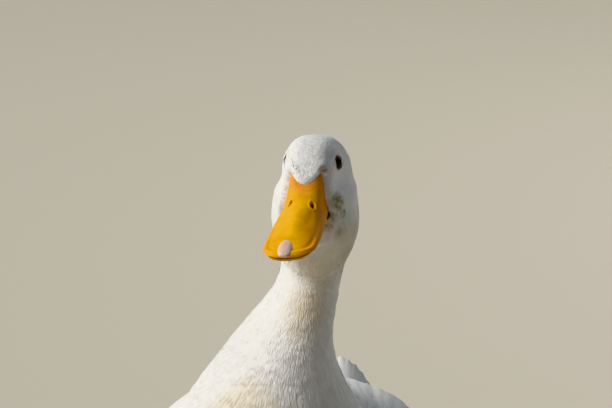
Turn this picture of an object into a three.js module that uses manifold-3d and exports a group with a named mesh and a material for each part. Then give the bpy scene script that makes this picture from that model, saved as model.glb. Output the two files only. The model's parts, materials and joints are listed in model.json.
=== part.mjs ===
// A white domestic duck of the Pekin type, standing, life size, in millimetres, +Z up, facing -Y.
// Its left is +X. It stands on the floor at z = 0 and its neck leans a little to its left.
// Body, neck and head are one lofted form that thin cuts divide; wings, tail, thighs, legs, feet,
// claws, bill and eyes are solids of their own, kept a small gap apart.

import * as THREE from "three";
import { mergeVertices } from "three/addons/utils/BufferGeometryUtils.js";
import Module from "manifold-3d";

const wasm = await Module();
wasm.setup();

// ---------------------------------------------------------------- driving dimensions

const gap = 0.3; // clearance between neighbouring pieces
const ringSides = 26; // points round the body
const cutBox = 900; // side of the boxes that cut the body

const headSide = 28; // how far the head stands to the left of the body's middle
const hornTip = { side: 9.4, ahead: 118.9, up: 417.4 }; // upper corner of the bill's base
const gape = { ahead: 117, up: 387 }; // corner of the mouth
const browEdge = { ahead: 125.3, up: 406.3 }; // lowest feather on the middle of the bill
const eye = { side: 11.6, ahead: 100, up: 414.5, radius: 7 };

// Rings of the body from the tail's root to the face: the ring's ends on the back and on the
// belly as [ahead, up], its half width, place to the side, squareness, how pear-shaped it is, and
// how far it draws in under the eyes.
const bodyRings = [
  { back: [-170, 168], belly: [-167, 151], half: 15, side: 0, square: 2, pear: 0, pinch: 0 },
  { back: [-154, 178], belly: [-156, 128], half: 38, side: 0, square: 2.1, pear: 0, pinch: 0 },
  { back: [-122, 195], belly: [-126, 92], half: 61, side: 0, square: 2.2, pear: 0.05, pinch: 0 },
  { back: [-78, 217], belly: [-90, 67], half: 78, side: 0, square: 2.3, pear: 0.08, pinch: 0 },
  { back: [-30, 237], belly: [-45, 57], half: 88, side: 0, square: 2.3, pear: 0.08, pinch: 0 },
  { back: [14, 251], belly: [5, 55], half: 92, side: 0, square: 2.25, pear: 0.06, pinch: 0 },
  { back: [46, 262], belly: [58, 62], half: 91, side: 0, square: 2.2, pear: 0.04, pinch: 0 },
  { back: [60, 271], belly: [108, 88], half: 84, side: 0.5, square: 2.1, pear: 0.02, pinch: 0 },
  { back: [66, 281], belly: [145, 132], half: 73, side: 0.5, square: 2, pear: 0, pinch: 0 },
  { back: [68, 292], belly: [159, 183], half: 61.5, side: 1.5, square: 2, pear: 0, pinch: 0 },
  { back: [67, 305], belly: [154, 230], half: 46, side: 3.2, square: 2, pear: 0, pinch: 0 },
  { back: [65, 318], belly: [139, 266], half: 34.3, side: 8, square: 2, pear: 0, pinch: 0 },
  { back: [62, 330], belly: [122, 297], half: 26, side: 15.4, square: 2, pear: 0, pinch: 0 },
  { back: [59, 343], belly: [109, 321], half: 21.2, side: 22, square: 2, pear: 0, pinch: 0 },
  { back: [56, 358], belly: [104, 338], half: 21, side: 25.5, square: 2, pear: 0, pinch: 0 },
  { back: [52, 376], belly: [106, 346], half: 24.5, side: 27.5, square: 2.1, pear: 0.02, pinch: 0 },
  { back: [52, 396], belly: [109, 353], half: 27, side: 28, square: 2.2, pear: 0.08, pinch: 0.02 },
  { back: [59, 414], belly: [112.5, 360], half: 26.5, side: 28, square: 2.3, pear: 0.14, pinch: 0.05 },
  { back: [74, 426], belly: [115, 365], half: 25, side: 28, square: 2.6, pear: 0.1, pinch: 0.09 },
  { back: [92, 430], belly: [117, 369], half: 20.4, side: 28, square: 3, pear: 0.08, pinch: 0.12 },
  { back: [108, 427], belly: [119, 372], half: 16.6, side: 28, square: 3.2, pear: 0.07, pinch: 0.07 },
  { back: [119, 416.5], belly: [121, 375], half: 13, side: 28, square: 3.8, pear: 0.1, pinch: 0 },
  { back: [126, 405], belly: [123, 378], half: 11, side: 28, square: 3.4, pear: 0.05, pinch: 0 },
];
const bodySteps = 2; // finer rings splined between these
const waist = { lift: 0.24, reach: 0.22 }; // where on a ring it draws in, and over how much of it

// Cuts across the body: a point of each, and how far its normal leans ahead, in degrees from up.
const headCut = { ahead: 82, up: 350, lean: 20 };
const neckCut = { ahead: 112, up: 262, lean: 36 };
const breastCut = { ahead: 66, up: 170, lean: 80 };
const rumpCut = { ahead: -112, up: 140, lean: 90 };

// Folded wing from shoulder to tip. Each section is an arc round the flank: the centre's height,
// the ellipse it follows, the degrees from up where it starts and ends, and its thickness.
const wingRings = [
  { ahead: 99, centre: 165, wide: 80, high: 103, from: 70, to: 88, thick: 3 },
  { ahead: 86, centre: 164, wide: 86.5, high: 103, from: 54, to: 103, thick: 8 },
  { ahead: 45, centre: 160, wide: 92, high: 104, from: 36, to: 107, thick: 9 },
  { ahead: -15, centre: 150, wide: 91, high: 97, from: 26, to: 104, thick: 10 },
  { ahead: -70, centre: 143, wide: 82, high: 80, from: 20, to: 92, thick: 10 },
  { ahead: -112, centre: 147, wide: 67, high: 60, from: 16, to: 80, thick: 8 },
  { ahead: -145, centre: 170, wide: 34, high: 26, from: 18, to: 72, thick: 5 },
  { ahead: -174, centre: 188, wide: 17, high: 9, from: 40, to: 80, thick: 2 },
];
const wingDepth = 6; // how far the wing's inner side is sunk before the body is taken from it

const tail = { ahead: -146, up: 160, pitch: 29, turn: -8, length: 88, spread: 18, feathers: 7, droop: 0.032 };

// Upper bill from inside the face to the tip: the section's top, edge and half width, and the
// fullness of its shoulder and waist between them.
const billRings = [
  { ahead: 112, top: 424, edge: 391, half: 13.2, shoulder: 1.12, waist: 0.62, arch: 0.2 },
  { ahead: 119.7, top: 416.5, edge: 389.6, half: 13.8, shoulder: 1.08, waist: 0.64, arch: 0.22 },
  { ahead: 126, top: 405, edge: 388, half: 14.5, shoulder: 0.95, waist: 0.68, arch: 0.3 },
  { ahead: 134, top: 397.6, edge: 385.8, half: 15.1, shoulder: 0.76, waist: 0.76, arch: 0.42 },
  { ahead: 146, top: 391.4, edge: 382.8, half: 15.8, shoulder: 0.62, waist: 0.88, arch: 0.55 },
  { ahead: 160, top: 385, edge: 379.2, half: 16.3, shoulder: 0.6, waist: 0.95, arch: 0.68 },
  { ahead: 171, top: 380, edge: 376.4, half: 16.2, shoulder: 0.62, waist: 1, arch: 0.75 },
  { ahead: 177, top: 377.6, edge: 375, half: 13.9, shoulder: 0.62, waist: 1, arch: 0.75 },
  { ahead: 180.8, top: 376, edge: 373.8, half: 7.8, shoulder: 0.62, waist: 1, arch: 0.75 },
];
const lowerBillRings = [
  { ahead: 112, up: 389, half: 11, deep: 8 },
  { ahead: 126, up: 386.2, half: 12.2, deep: 7.5 },
  { ahead: 146, up: 381.2, half: 13.4, deep: 5.6 },
  { ahead: 160, up: 377.7, half: 14, deep: 4.4 },
  { ahead: 171, up: 375, half: 13.6, deep: 3.4 },
  { ahead: 176, up: 374.1, half: 9.5, deep: 2.4 },
];
const nail = { ahead: 175.6, up: 377, side: 4.7, long: 7.4, deep: 2.4, pitch: 23 };

// Leg: radii and places as [to the side, ahead, up], from the thigh down to the foot's joint.
const thighRings = [
  { place: [50, -8, 104], radius: 25 },
  { place: [49, -14, 84], radius: 23 },
  { place: [47.5, -19, 66], radius: 17 },
  { place: [46.5, -21, 54], radius: 10.5 },
];
const shankRings = [
  { place: [47, -22, 66], radius: 7.5 },
  { place: [46.5, -21, 56], radius: 7.4 },
  { place: [46.3, -17, 44], radius: 5.6 },
  { place: [46.5, -11, 26], radius: 5.4 },
  { place: [47, -5, 12], radius: 6.8 },
  { place: [47, -3.5, 8], radius: 6.2 },
];
const footPlace = { side: 47, ahead: -3, turn: 3 }; // its joint, and its turn outwards in degrees

// Toes: turn outwards in degrees, length, half width, and the height of the root and the tip.
const toes = [
  { name: "inner", turn: -21, long: 53, half: 3.4, root: 0, tip: 0 },
  { name: "middle", turn: 2, long: 67, half: 3.8, root: 0, tip: 0 },
  { name: "outer", turn: 25, long: 63, half: 3.6, root: 0, tip: 0 },
  { name: "hind", turn: 196, long: 19, half: 2.6, root: 9, tip: 2.5 },
];
const web = { thick: 1.6, reach: 0.93, hollow: 0.8 };
const claw = { long: 8.5, half: 1.9 };

// ---------------------------------------------------------------- helpers

const degrees = THREE.MathUtils.degToRad;

// A point by how far it lies to the left, ahead and up.
const at = (side, ahead, up) => new THREE.Vector3(side, -ahead, up);

// A value on the Catmull-Rom spline through the given ones; t runs from 0 to the last index.
function along(values, t) {
  const i = Math.min(Math.floor(t), values.length - 2);
  const f = t - i;
  const [b, c] = [values[i], values[i + 1]];
  const a = values[i - 1] ?? 2 * b - c;
  const d = values[i + 2] ?? 2 * c - b;
  const [p, q] = [(c - a) / 2, (d - b) / 2];
  return b + f * (p + f * (3 * (c - b) - 2 * p - q + f * (2 * (b - c) + p + q)));
}

// Stations with finer ones splined between them, name by name.
function refine(stations, steps) {
  const count = (stations.length - 1) * steps;
  const splined = (name, t) => {
    const values = stations.map((station) => station[name]);
    if (!Array.isArray(values[0])) return along(values, t);
    return values[0].map((_, axis) => along(values.map((value) => value[axis]), t));
  };
  return Array.from({ length: count + 1 }, (_, s) =>
    Object.fromEntries(Object.keys(stations[0]).map((name) => [name, splined(name, s / steps)])),
  );
}

// A circle's cos or sin made squarer; 2 leaves it round.
const squared = (value, square) => Math.sign(value) * Math.abs(value) ** (2 / square);

// The faces between neighbouring rings of equally many points.
function wallOf(rings) {
  const n = rings[0].length;
  const index = [];
  for (let r = 0; r < (rings.length - 1) * n; r += n)
    for (let i = 0; i < n; i++) {
      const j = (i + 1) % n;
      index.push(r + i, r + j, r + n + j, r + i, r + n + j, r + n + i);
    }
  return index;
}

// A closed skin over round rings, with a fan over each end.
function loft(rings) {
  const n = rings[0].length;
  const ends = [rings[0], rings.at(-1)].map((ring) =>
    ring.reduce((sum, p) => sum.add(p), new THREE.Vector3()).divideScalar(n),
  );
  const [first, tip] = [rings.length * n, (rings.length - 1) * n];
  const index = wallOf(rings);
  for (let i = 0; i < n; i++) {
    const j = (i + 1) % n;
    index.push(first, j, i, first + 1, tip + i, tip + j);
  }
  return new THREE.BufferGeometry().setFromPoints([...rings.flat(), ...ends]).setIndex(index);
}

// A closed sheet over flat rings that run out along one face and back along the other.
function sheet(rings) {
  const n = rings[0].length;
  const tip = (rings.length - 1) * n;
  const index = wallOf(rings);
  for (let i = 0; i + 1 < n / 2; i++) {
    const [a, b, c, d] = [i, i + 1, n - 2 - i, n - 1 - i];
    index.push(a, c, b, a, d, c);
    index.push(tip + a, tip + b, tip + c, tip + a, tip + c, tip + d);
  }
  return new THREE.BufferGeometry().setFromPoints(rings.flat()).setIndex(index);
}

// A three.js geometry as a solid, turned to face out.
function solid(geometry) {
  const bare = geometry.clone();
  bare.deleteAttribute("normal");
  bare.deleteAttribute("uv");
  const merged = mergeVertices(bare, 1e-4);
  const vertProperties = Float32Array.from(merged.attributes.position.array);
  const triVerts = Uint32Array.from(merged.index.array);
  const made = new wasm.Manifold(new wasm.Mesh({ numProp: 3, vertProperties, triVerts }));
  if (made.volume() > 0) return made;
  triVerts.reverse();
  return new wasm.Manifold(new wasm.Mesh({ numProp: 3, vertProperties, triVerts }));
}

// The largest body of a solid as a three.js geometry.
function geometryOf(made) {
  const [largest] = made.decompose().sort((a, b) => b.volume() - a.volume());
  const mesh = largest.getMesh();
  const positions = new Float32Array(mesh.numVert * 3);
  for (let v = 0; v < mesh.numVert; v++)
    positions.set(mesh.vertProperties.subarray(v * mesh.numProp, v * mesh.numProp + 3), v * 3);
  const geometry = new THREE.BufferGeometry();
  geometry.setAttribute("position", new THREE.BufferAttribute(positions, 3));
  geometry.setIndex(new THREE.BufferAttribute(mesh.triVerts, 1));
  return geometry;
}

// A box that fills one side of a cut: beyond it when way is 1, short of it when way is -1.
function sideOf({ ahead, up, lean }, way) {
  const box = new THREE.BoxGeometry(cutBox, cutBox, cutBox);
  const normal = at(0, Math.sin(degrees(lean)), Math.cos(degrees(lean))).multiplyScalar(way);
  box.translate(0, 0, cutBox / 2 + gap / 2);
  box.applyQuaternion(new THREE.Quaternion().setFromUnitVectors(new THREE.Vector3(0, 0, 1), normal));
  const middle = at(0, ahead, up);
  return solid(box.translate(middle.x, middle.y, middle.z));
}
const beyond = (cut) => sideOf(cut, 1);
const shortOf = (cut) => sideOf(cut, -1);

function ball(place, radii, sides, pitch = 0) {
  const made = new THREE.SphereGeometry(1, sides, sides / 2);
  made.scale(...radii).rotateX(degrees(pitch));
  return solid(made.translate(place.x, place.y, place.z));
}

// A tube of round rings, each given by its place and radius.
function tube(stations, sides, grow = 0) {
  return solid(
    loft(
      stations.map(({ place, radius }) =>
        Array.from({ length: sides }, (_, i) => {
          const angle = (2 * Math.PI * i) / sides;
          const [side, ahead, up] = place;
          return at(side + (radius + grow) * Math.cos(angle), ahead + (radius + grow) * Math.sin(angle), up);
        }),
      ),
    ),
  );
}

// ---------------------------------------------------------------- body, neck and head

function bodyRing({ back, belly, half, side, square, pear, pinch }, grow) {
  const top = at(side, ...back);
  const middle = at(side, ...belly).add(top).divideScalar(2);
  const upward = top.sub(middle);
  upward.setLength(upward.length() + grow);
  return Array.from({ length: ringSides }, (_, i) => {
    const angle = (2 * Math.PI * i) / ringSides;
    const lift = squared(Math.cos(angle), square);
    const waisted = 1 - pinch * Math.exp(-(((lift - waist.lift) / waist.reach) ** 2));
    const spread = squared(Math.sin(angle), square) * (1 - pear * lift) * waisted;
    return middle.clone().addScaledVector(upward, lift).add(at((half + grow) * spread, 0, 0));
  });
}

const fineBody = refine(bodyRings, bodySteps);
const wholeBody = solid(loft(fineBody.map((ring) => bodyRing(ring, 0))));
const grownBody = solid(loft(fineBody.map((ring) => bodyRing(ring, gap))));

// ---------------------------------------------------------------- bill and face

// Half a section of the upper bill is a Bezier curve from its ridge to its edge.
function billRing({ ahead, top, edge, half, shoulder, waist, arch }) {
  const curve = new THREE.CubicBezierCurve(
    new THREE.Vector2(0, top),
    new THREE.Vector2(half * shoulder, top),
    new THREE.Vector2(half * waist, edge + (top - edge) * arch),
    new THREE.Vector2(half, edge),
  );
  const left = [...curve.getPoints(6), new THREE.Vector2(half * 0.93, edge - 0.9)];
  const right = left.slice(1).reverse();
  return [...left.map((p) => [p.x, p.y]), ...right.map((p) => [-p.x, p.y])].map(([side, up]) =>
    at(headSide + side, ahead, up),
  );
}

function lowerBillRing({ ahead, up, half, deep }) {
  return Array.from({ length: 16 }, (_, i) => {
    const angle = (2 * Math.PI * i) / 16;
    const drop = Math.max(0, -Math.cos(angle)) ** 0.7;
    return at(headSide + half * squared(Math.sin(angle), 2.4), ahead, up - 1.5 - drop * (deep - 1.5));
  });
}

// The lobe of forehead feathers that dips between the bill's upper corners, square on the brow.
function browLobe(grow) {
  const down = new THREE.Vector2(browEdge.ahead - hornTip.ahead, browEdge.up - hornTip.up);
  const deep = down.length() + grow;
  down.normalize();
  const wide = hornTip.side + grow;
  const outline = Array.from({ length: 17 }, (_, i) => {
    const angle = (Math.PI * i) / 16;
    return [wide * Math.cos(angle), deep * Math.sin(angle)];
  });
  outline.push([-wide, -25], [wide, -25]);
  const layer = (level) =>
    outline.map(([side, far]) =>
      at(
        headSide + side,
        hornTip.ahead + down.x * far - down.y * level,
        hornTip.up + down.y * far + down.x * level,
      ),
    );
  return solid(loft([layer(-7 - grow), layer(25)]));
}

const faceCut = {
  ahead: gape.ahead,
  up: gape.up,
  lean: 90 + THREE.MathUtils.radToDeg(Math.atan2(hornTip.ahead - gape.ahead, hornTip.up - gape.up)),
};
const upperBillRings = refine(billRings, 2);
const nailPlace = at(headSide, nail.ahead, nail.up);
const nailSolid = ball(nailPlace, [nail.side, nail.long, nail.deep], 14, nail.pitch);
const nailRoom = ball(nailPlace, [nail.side + gap, nail.long + gap, nail.deep + gap], 14, nail.pitch);
const face = beyond(faceCut);
const upperBill = solid(loft(upperBillRings.map(billRing))).intersect(face).subtract(browLobe(gap));
const lowerRings = refine(lowerBillRings, 2);
const lowerBill = solid(loft(lowerRings.map(lowerBillRing))).intersect(face);

const eyeAt = (way) => at(headSide + way * eye.side, eye.ahead, eye.up);
const eyeBall = (way, grow) => ball(eyeAt(way), Array(3).fill(eye.radius + grow), 14);

const head = wholeBody
  .intersect(beyond(headCut))
  .subtract(face.subtract(browLobe(0)))
  .subtract(eyeBall(1, gap))
  .subtract(eyeBall(-1, gap));

// ---------------------------------------------------------------- wings and tail

function wingRing({ ahead, centre, wide, high, from, to, thick }, way) {
  const steps = 7;
  const line = (sink) =>
    Array.from({ length: steps + 1 }, (_, i) => {
      const angle = degrees(from + ((to - from) * i) / steps);
      const swell = Math.sin((Math.PI * (i + 0.5)) / (steps + 1)) ** 0.6;
      const out = sink ? -Math.min(wingDepth, thick) : thick * swell;
      return at(way * (wide + out) * Math.sin(angle), ahead, centre + (high + out) * Math.cos(angle));
    });
  return [...line(false), ...line(true).reverse()];
}

const fineWing = refine(wingRings, 2);
const wing = (way) => solid(sheet(fineWing.map((ring) => wingRing(ring, way)))).subtract(grownBody);

// The tail is a fan of overlapping feathers whose ends scallop its edge.
function tailSolid() {
  const [across, rows] = [35, 3];
  const rings = Array.from({ length: rows + 1 }, (_, row) => {
    const far = row / rows;
    const line = (way) =>
      Array.from({ length: across + 1 }, (_, i) => {
        const fan = (2 * i) / across - 1;
        const tipShape = Math.abs(Math.sin((Math.PI * tail.feathers * i) / across)) ** 0.5;
        const reach = tail.length * (1 - 0.16 * fan * fan) * (0.95 + 0.05 * tipShape * far);
        const radius = 12 + (reach - 12) * far;
        const angle = degrees(tail.spread * fan);
        const side = (radius + 26 * (1 - far)) * Math.sin(angle);
        const thick = (4.2 - 3.2 * far) * (1 - 0.45 * fan * fan);
        const length = radius * Math.cos(angle);
        const height = way * thick - tail.droop * side * side;
        const pitch = degrees(tail.pitch);
        return at(
          side + length * Math.sin(degrees(tail.turn)),
          tail.ahead - length * Math.cos(pitch) + height * Math.sin(pitch),
          tail.up + length * Math.sin(pitch) + height * Math.cos(pitch),
        );
      });
    return [...line(1), ...line(-1).reverse()];
  });
  return solid(sheet(rings)).subtract(grownBody);
}

// ---------------------------------------------------------------- legs and feet

const onFoot = (far, across, up, turn, way) => {
  const angle = degrees(turn + footPlace.turn);
  const ahead = footPlace.ahead + far * Math.cos(angle) - across * Math.sin(angle);
  const side = footPlace.side + far * Math.sin(angle) + across * Math.cos(angle);
  return at(way * side, ahead, up);
};

// A toe or a claw: flat under, domed above, thinning to its end.
function toeSolid({ turn, root, tip }, start, end, halfStart, halfEnd, steps, way) {
  const rings = Array.from({ length: steps + 1 }, (_, s) => {
    const t = s / steps;
    const width = halfStart + (halfEnd - halfStart) * t ** 1.5;
    const lift = root + (tip - root) * t;
    const outline = [
      [-0.8, 0],
      [-1, 0.6],
      [-0.5, 1.4],
      [0.5, 1.4],
      [1, 0.6],
      [0.8, 0],
    ];
    const far = start + (end - start) * t;
    return outline.map(([across, up]) => onFoot(far, across * width, lift + up * width, turn, way));
  });
  return solid(loft(rings));
}

function webSolid(one, other, way) {
  const [a, b] = [one, other].map((toe) => ({ turn: toe.turn, far: toe.long * web.reach }));
  const edge = [];
  for (let i = 0; i <= 4; i++) {
    const t = i / 4;
    const far = a.far + (b.far - a.far) * t;
    edge.push([far * (1 - (1 - web.hollow) * 4 * t * (1 - t) * 0.9), a.turn + (b.turn - a.turn) * t]);
  }
  const outline = [[-4, (a.turn + b.turn) / 2], ...edge];
  const layer = (up) => outline.map(([far, turn]) => onFoot(far, 0, up, turn, way));
  return solid(loft([layer(0), layer(web.thick)]));
}

function legOf(way) {
  const mirror = (stations) =>
    stations.map(({ place: [side, ahead, up], radius }) => ({ place: [way * side, ahead, up], radius }));
  const thighStations = mirror(refine(thighRings, 2));
  const shankStations = mirror(refine(shankRings, 2));
  const thigh = tube(thighStations, 16).subtract(grownBody);
  const shank = tube(shankStations, 12).subtract(tube(thighStations, 16, gap)).subtract(grownBody);
  const shankRoom = tube(shankStations, 12, gap);
  const [inner, middle, outer, hind] = toes;
  const made = toes.map((toe) => toeSolid(toe, -3, toe.long, toe.half * 1.35, toe.half * 0.75, 4, way));
  const pad = ball(onFoot(0, 0, 5, 0, way), [8, 8.5, 6], 10).intersect(
    solid(new THREE.BoxGeometry(60, 60, 40).translate(way * footPlace.side, -footPlace.ahead, 20)),
  );
  const foot = [pad, webSolid(inner, middle, way), webSolid(middle, outer, way)]
    .reduce((sum, piece) => sum.add(piece), made[0].add(made[1]).add(made[2]).add(made[3]))
    .subtract(shankRoom);
  const claws = [inner, middle, outer, hind].map((toe) => ({
    name: toe.name,
    made: toeSolid(
      { ...toe, root: toe.tip + 0.2, tip: toe.tip * 0.5 + 0.1 },
      toe.long + gap,
      toe.long + claw.long * (toe.name === "hind" ? 0.6 : 1),
      claw.half * (toe.name === "hind" ? 0.8 : 1),
      0.5,
      2,
      way,
    ),
  }));
  return { thigh, shank, foot, claws };
}

// ---------------------------------------------------------------- colours and assembly

const paint = (name, color, roughness, metalness = 0) => {
  const made = new THREE.MeshStandardMaterial({ color, roughness, metalness });
  made.name = name;
  return made;
};
const plumage = paint("plumage", 0xf1efe8, 0.85);
const billSkin = paint("bill_skin", 0xe09a24, 0.5);
const nailHorn = paint("nail_horn", 0xd8b09a, 0.45);
const eyeBlack = paint("eye_dark", 0x17120f, 0.1);
const legSkin = paint("leg_skin", 0xe07b1e, 0.6);
const clawHorn = paint("claw_horn", 0xc9b08c, 0.5);

const duck = new THREE.Group();
duck.name = "pekin_duck";

function place(name, made, material) {
  const geometry = geometryOf(made);
  geometry.computeVertexNormals();
  const mesh = new THREE.Mesh(geometry, material);
  mesh.name = name;
  duck.add(mesh);
}

place("head", head, plumage);
place("neck", wholeBody.intersect(shortOf(headCut)).intersect(beyond(neckCut)), plumage);
const belowNeck = wholeBody.intersect(shortOf(neckCut));
place("breast", belowNeck.intersect(beyond(breastCut)), plumage);
place("trunk", belowNeck.intersect(shortOf(breastCut)).intersect(beyond(rumpCut)), plumage);
place("rump", belowNeck.intersect(shortOf(rumpCut)), plumage);
place("tail", tailSolid(), plumage);
place("upper_bill", upperBill.subtract(nailRoom), billSkin);
place("lower_bill", lowerBill.subtract(nailRoom), billSkin);
place("bill_nail", nailSolid, nailHorn);

for (const [name, way] of [
  ["left", 1],
  ["right", -1],
]) {
  place(`eye_${name}`, eyeBall(way, 0), eyeBlack);
  place(`wing_${name}`, wing(way), plumage);
  const leg = legOf(way);
  place(`thigh_${name}`, leg.thigh, plumage);
  place(`leg_${name}`, leg.shank, legSkin);
  place(`foot_${name}`, leg.foot, legSkin);
  for (const { name: toe, made } of leg.claws) place(`claw_${toe}_${name}`, made, clawHorn);
}

// The origin goes to the middle of the footprint's box, on the floor.
const box = new THREE.Box3().setFromObject(duck);
const middle = box.getCenter(new THREE.Vector3());
duck.children.forEach((mesh) => mesh.geometry.translate(-middle.x, -middle.y, -box.min.z));

export default duck;
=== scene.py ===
import json
import math

import bmesh
import bpy
import numpy as np
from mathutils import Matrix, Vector
from mathutils.bvhtree import BVHTree

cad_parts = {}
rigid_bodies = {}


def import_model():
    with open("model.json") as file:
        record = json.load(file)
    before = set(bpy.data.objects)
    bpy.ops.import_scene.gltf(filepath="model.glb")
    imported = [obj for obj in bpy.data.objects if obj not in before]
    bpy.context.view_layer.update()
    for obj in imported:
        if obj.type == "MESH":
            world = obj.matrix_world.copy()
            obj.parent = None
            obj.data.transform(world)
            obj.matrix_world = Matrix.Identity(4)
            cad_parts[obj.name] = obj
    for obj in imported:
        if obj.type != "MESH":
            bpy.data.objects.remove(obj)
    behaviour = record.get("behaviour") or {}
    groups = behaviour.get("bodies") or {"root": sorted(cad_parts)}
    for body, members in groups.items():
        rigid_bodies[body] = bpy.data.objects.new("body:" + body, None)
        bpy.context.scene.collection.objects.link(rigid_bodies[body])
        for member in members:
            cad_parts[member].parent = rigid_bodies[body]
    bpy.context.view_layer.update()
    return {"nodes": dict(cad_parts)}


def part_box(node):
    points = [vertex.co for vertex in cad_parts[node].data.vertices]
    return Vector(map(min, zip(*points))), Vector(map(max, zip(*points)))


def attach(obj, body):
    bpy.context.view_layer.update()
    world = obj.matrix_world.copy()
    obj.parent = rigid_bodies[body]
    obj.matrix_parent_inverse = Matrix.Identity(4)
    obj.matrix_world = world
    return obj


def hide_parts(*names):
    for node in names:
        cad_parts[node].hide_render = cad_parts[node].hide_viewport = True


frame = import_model()
mm = 0.001


def boxMiddle(node):
    low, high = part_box(node)
    return (Vector(low) + Vector(high)) / 2


# The bird's own measures: side is to its left, ahead is forwards, up is from the floor, all in mm.
eyeLeft, eyeRight = boxMiddle("eye_left"), boxMiddle("eye_right")
headX = (eyeLeft.x + eyeRight.x) / 2
headSide = headX / mm
eyeSide, eyeAhead, eyeUp = (eyeLeft.x - eyeRight.x) / 2 / mm, 100.0, eyeLeft.z / mm
aheadZero = eyeLeft.y + eyeAhead * mm  # the room's y where ahead is 0
headLow = 350  # up from which it is head


def at(side, ahead, up):
    return Vector((side * mm, aheadZero - ahead * mm, up * mm))


def measures(points):
    return points[:, 0] / mm, (aheadZero - points[:, 1]) / mm, points[:, 2] / mm


def placed(points):
    # from (side, ahead, up) to metres in the room
    points = np.asarray(points, dtype=float).reshape(-1, 3)
    return np.stack([points[:, 0] * mm, aheadZero - points[:, 1] * mm, points[:, 2] * mm], 1)


def ramp(value, low, high):
    t = np.clip((value - low) / (high - low), 0, 1)
    return t * t * (3 - 2 * t)


def bump(value, middle, reach):
    return np.exp(-(((value - middle) / reach) ** 2))


def unit(vectors):
    return vectors / (np.linalg.norm(vectors, axis=-1, keepdims=True) + 1e-9)


# Meshes and their values

def linked(name, data):
    piece = bpy.data.objects.new(name, data)
    bpy.context.scene.collection.objects.link(piece)
    return piece


def shadeSmooth(mesh):
    mesh.polygons.foreach_set("use_smooth", [True] * len(mesh.polygons))


def newObject(name, vertices, faces):
    mesh = bpy.data.meshes.new(name)
    mesh.from_pydata([tuple(v) for v in vertices], [], [tuple(f) for f in faces])
    mesh.validate()
    shadeSmooth(mesh)
    return linked(name, mesh)


def pulled(items, what, width=1, kind=np.float32):
    values = np.empty(len(items) * width, dtype=kind)
    items.foreach_get(what, values)
    return values.reshape(-1, width) if width > 1 else values


def pointsOf(mesh):
    return pulled(mesh.vertices, "co", 3).astype(np.float64)


def normalsOf(mesh):
    return pulled(mesh.vertex_normals, "vector", 3).astype(np.float64)


def cornersOf(mesh):
    return pulled(mesh.loops, "vertex_index", kind=np.int32)


def movePoints(mesh, points):
    mesh.vertices.foreach_set("co", points.astype(np.float32).ravel())
    mesh.update()


def setValues(mesh, name, values, kind="FLOAT", domain="POINT"):
    attribute = mesh.attributes.new(name, kind, domain)
    flat = np.asarray(values, dtype=np.float32).ravel()
    attribute.data.foreach_set("value" if kind == "FLOAT" else "vector", flat)


def evaluated(piece):
    return bpy.data.meshes.new_from_object(piece.evaluated_get(bpy.context.evaluated_depsgraph_get()))


def voxelled(name, shell, voxel):
    # the shell's parts become one closed surface
    mesh = bpy.data.meshes.new("joined")
    shell.to_mesh(mesh)
    shell.free()
    joined = linked("joined", mesh)
    remesh = joined.modifiers.new("remesh", "REMESH")
    remesh.mode, remesh.voxel_size, remesh.adaptivity = "VOXEL", voxel * mm, 0
    fine = evaluated(joined)
    bpy.data.objects.remove(joined)
    fine.name = name
    return fine


def smoothed(points, mesh, pushes, weight=1.0):
    # each push moves every point by that share towards the middle of its neighbours
    edges = pulled(mesh.edges, "vertices", 2, np.int32)
    count = np.maximum(np.bincount(edges.ravel(), minlength=len(points)), 1)[:, None]
    for push in pushes:
        total = np.stack([
            np.bincount(edges[:, 0], points[edges[:, 1], k], len(points))
            + np.bincount(edges[:, 1], points[edges[:, 0], k], len(points)) for k in range(3)
        ], 1)
        points = points + (total / count - points) * push * weight
    return points


def countTriangles(name, mesh):
    print(f"{name}: {sum(len(p.vertices) - 2 for p in mesh.polygons)} triangles")


def ridden(piece, slot, *nodes):
    # every piece rides on the one body; nodes are the solids that it stands for
    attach(piece, "root")
    if nodes:
        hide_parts(*nodes)
    return piece


def closeMesh(name, vertices, faces, material, slot, *nodes):
    piece = newObject(name, vertices, faces)
    shell = bmesh.new()
    shell.from_mesh(piece.data)
    bmesh.ops.recalc_face_normals(shell, faces=shell.faces)
    shell.to_mesh(piece.data)
    shell.free()
    piece.data.materials.append(material)
    return ridden(piece, slot, *nodes)


def splined(values, place):
    # a smooth row between the table's rows, for one place or an array of them
    i = np.minimum(np.asarray(place).astype(int), len(values) - 2)
    f = (place - i)[..., None]
    b, c = values[i], values[i + 1]
    a = np.where((i > 0)[..., None], values[np.maximum(i - 1, 0)], 2 * b - c)
    d = np.where((i + 2 < len(values))[..., None], values[np.minimum(i + 2, len(values) - 1)], 2 * c - b)
    p, q = (c - a) / 2, (d - b) / 2
    return b + f * (p + f * (3 * (c - b) - 2 * p - q + f * (2 * (b - c) + p + q)))


def gridFaces(rows, columns, wrap=False, start=0):
    faces = []
    for r in range(rows - 1):
        for c in range(columns if wrap else columns - 1):
            d = (c + 1) % columns
            faces.append((start + r * columns + c, start + r * columns + d,
                          start + (r + 1) * columns + d, start + (r + 1) * columns + c))
    return faces


def tubeFaces(rows, columns, start=0):
    # a round of rings, closed by one face at each end
    last = start + (rows - 1) * columns
    ends = [tuple(range(start, start + columns))[::-1], tuple(range(last, last + columns))]
    return gridFaces(rows, columns, True, start) + ends


def budMesh(ring):
    # rings that close on a point at each end
    rows, columns = ring.shape[:2]
    points = np.concatenate([ring.reshape(-1, 3), [ring[0].mean(0)], [ring[-1].mean(0)]])
    pole, last = rows * columns, (rows - 1) * columns
    pairs = [(c, (c + 1) % columns) for c in range(columns)]
    near, away = [(c, pole, d) for c, d in pairs], [(last + c, last + d, pole + 1) for c, d in pairs]
    return placed(points), gridFaces(rows, columns, True) + near + away


# Camera, floor and light

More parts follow.
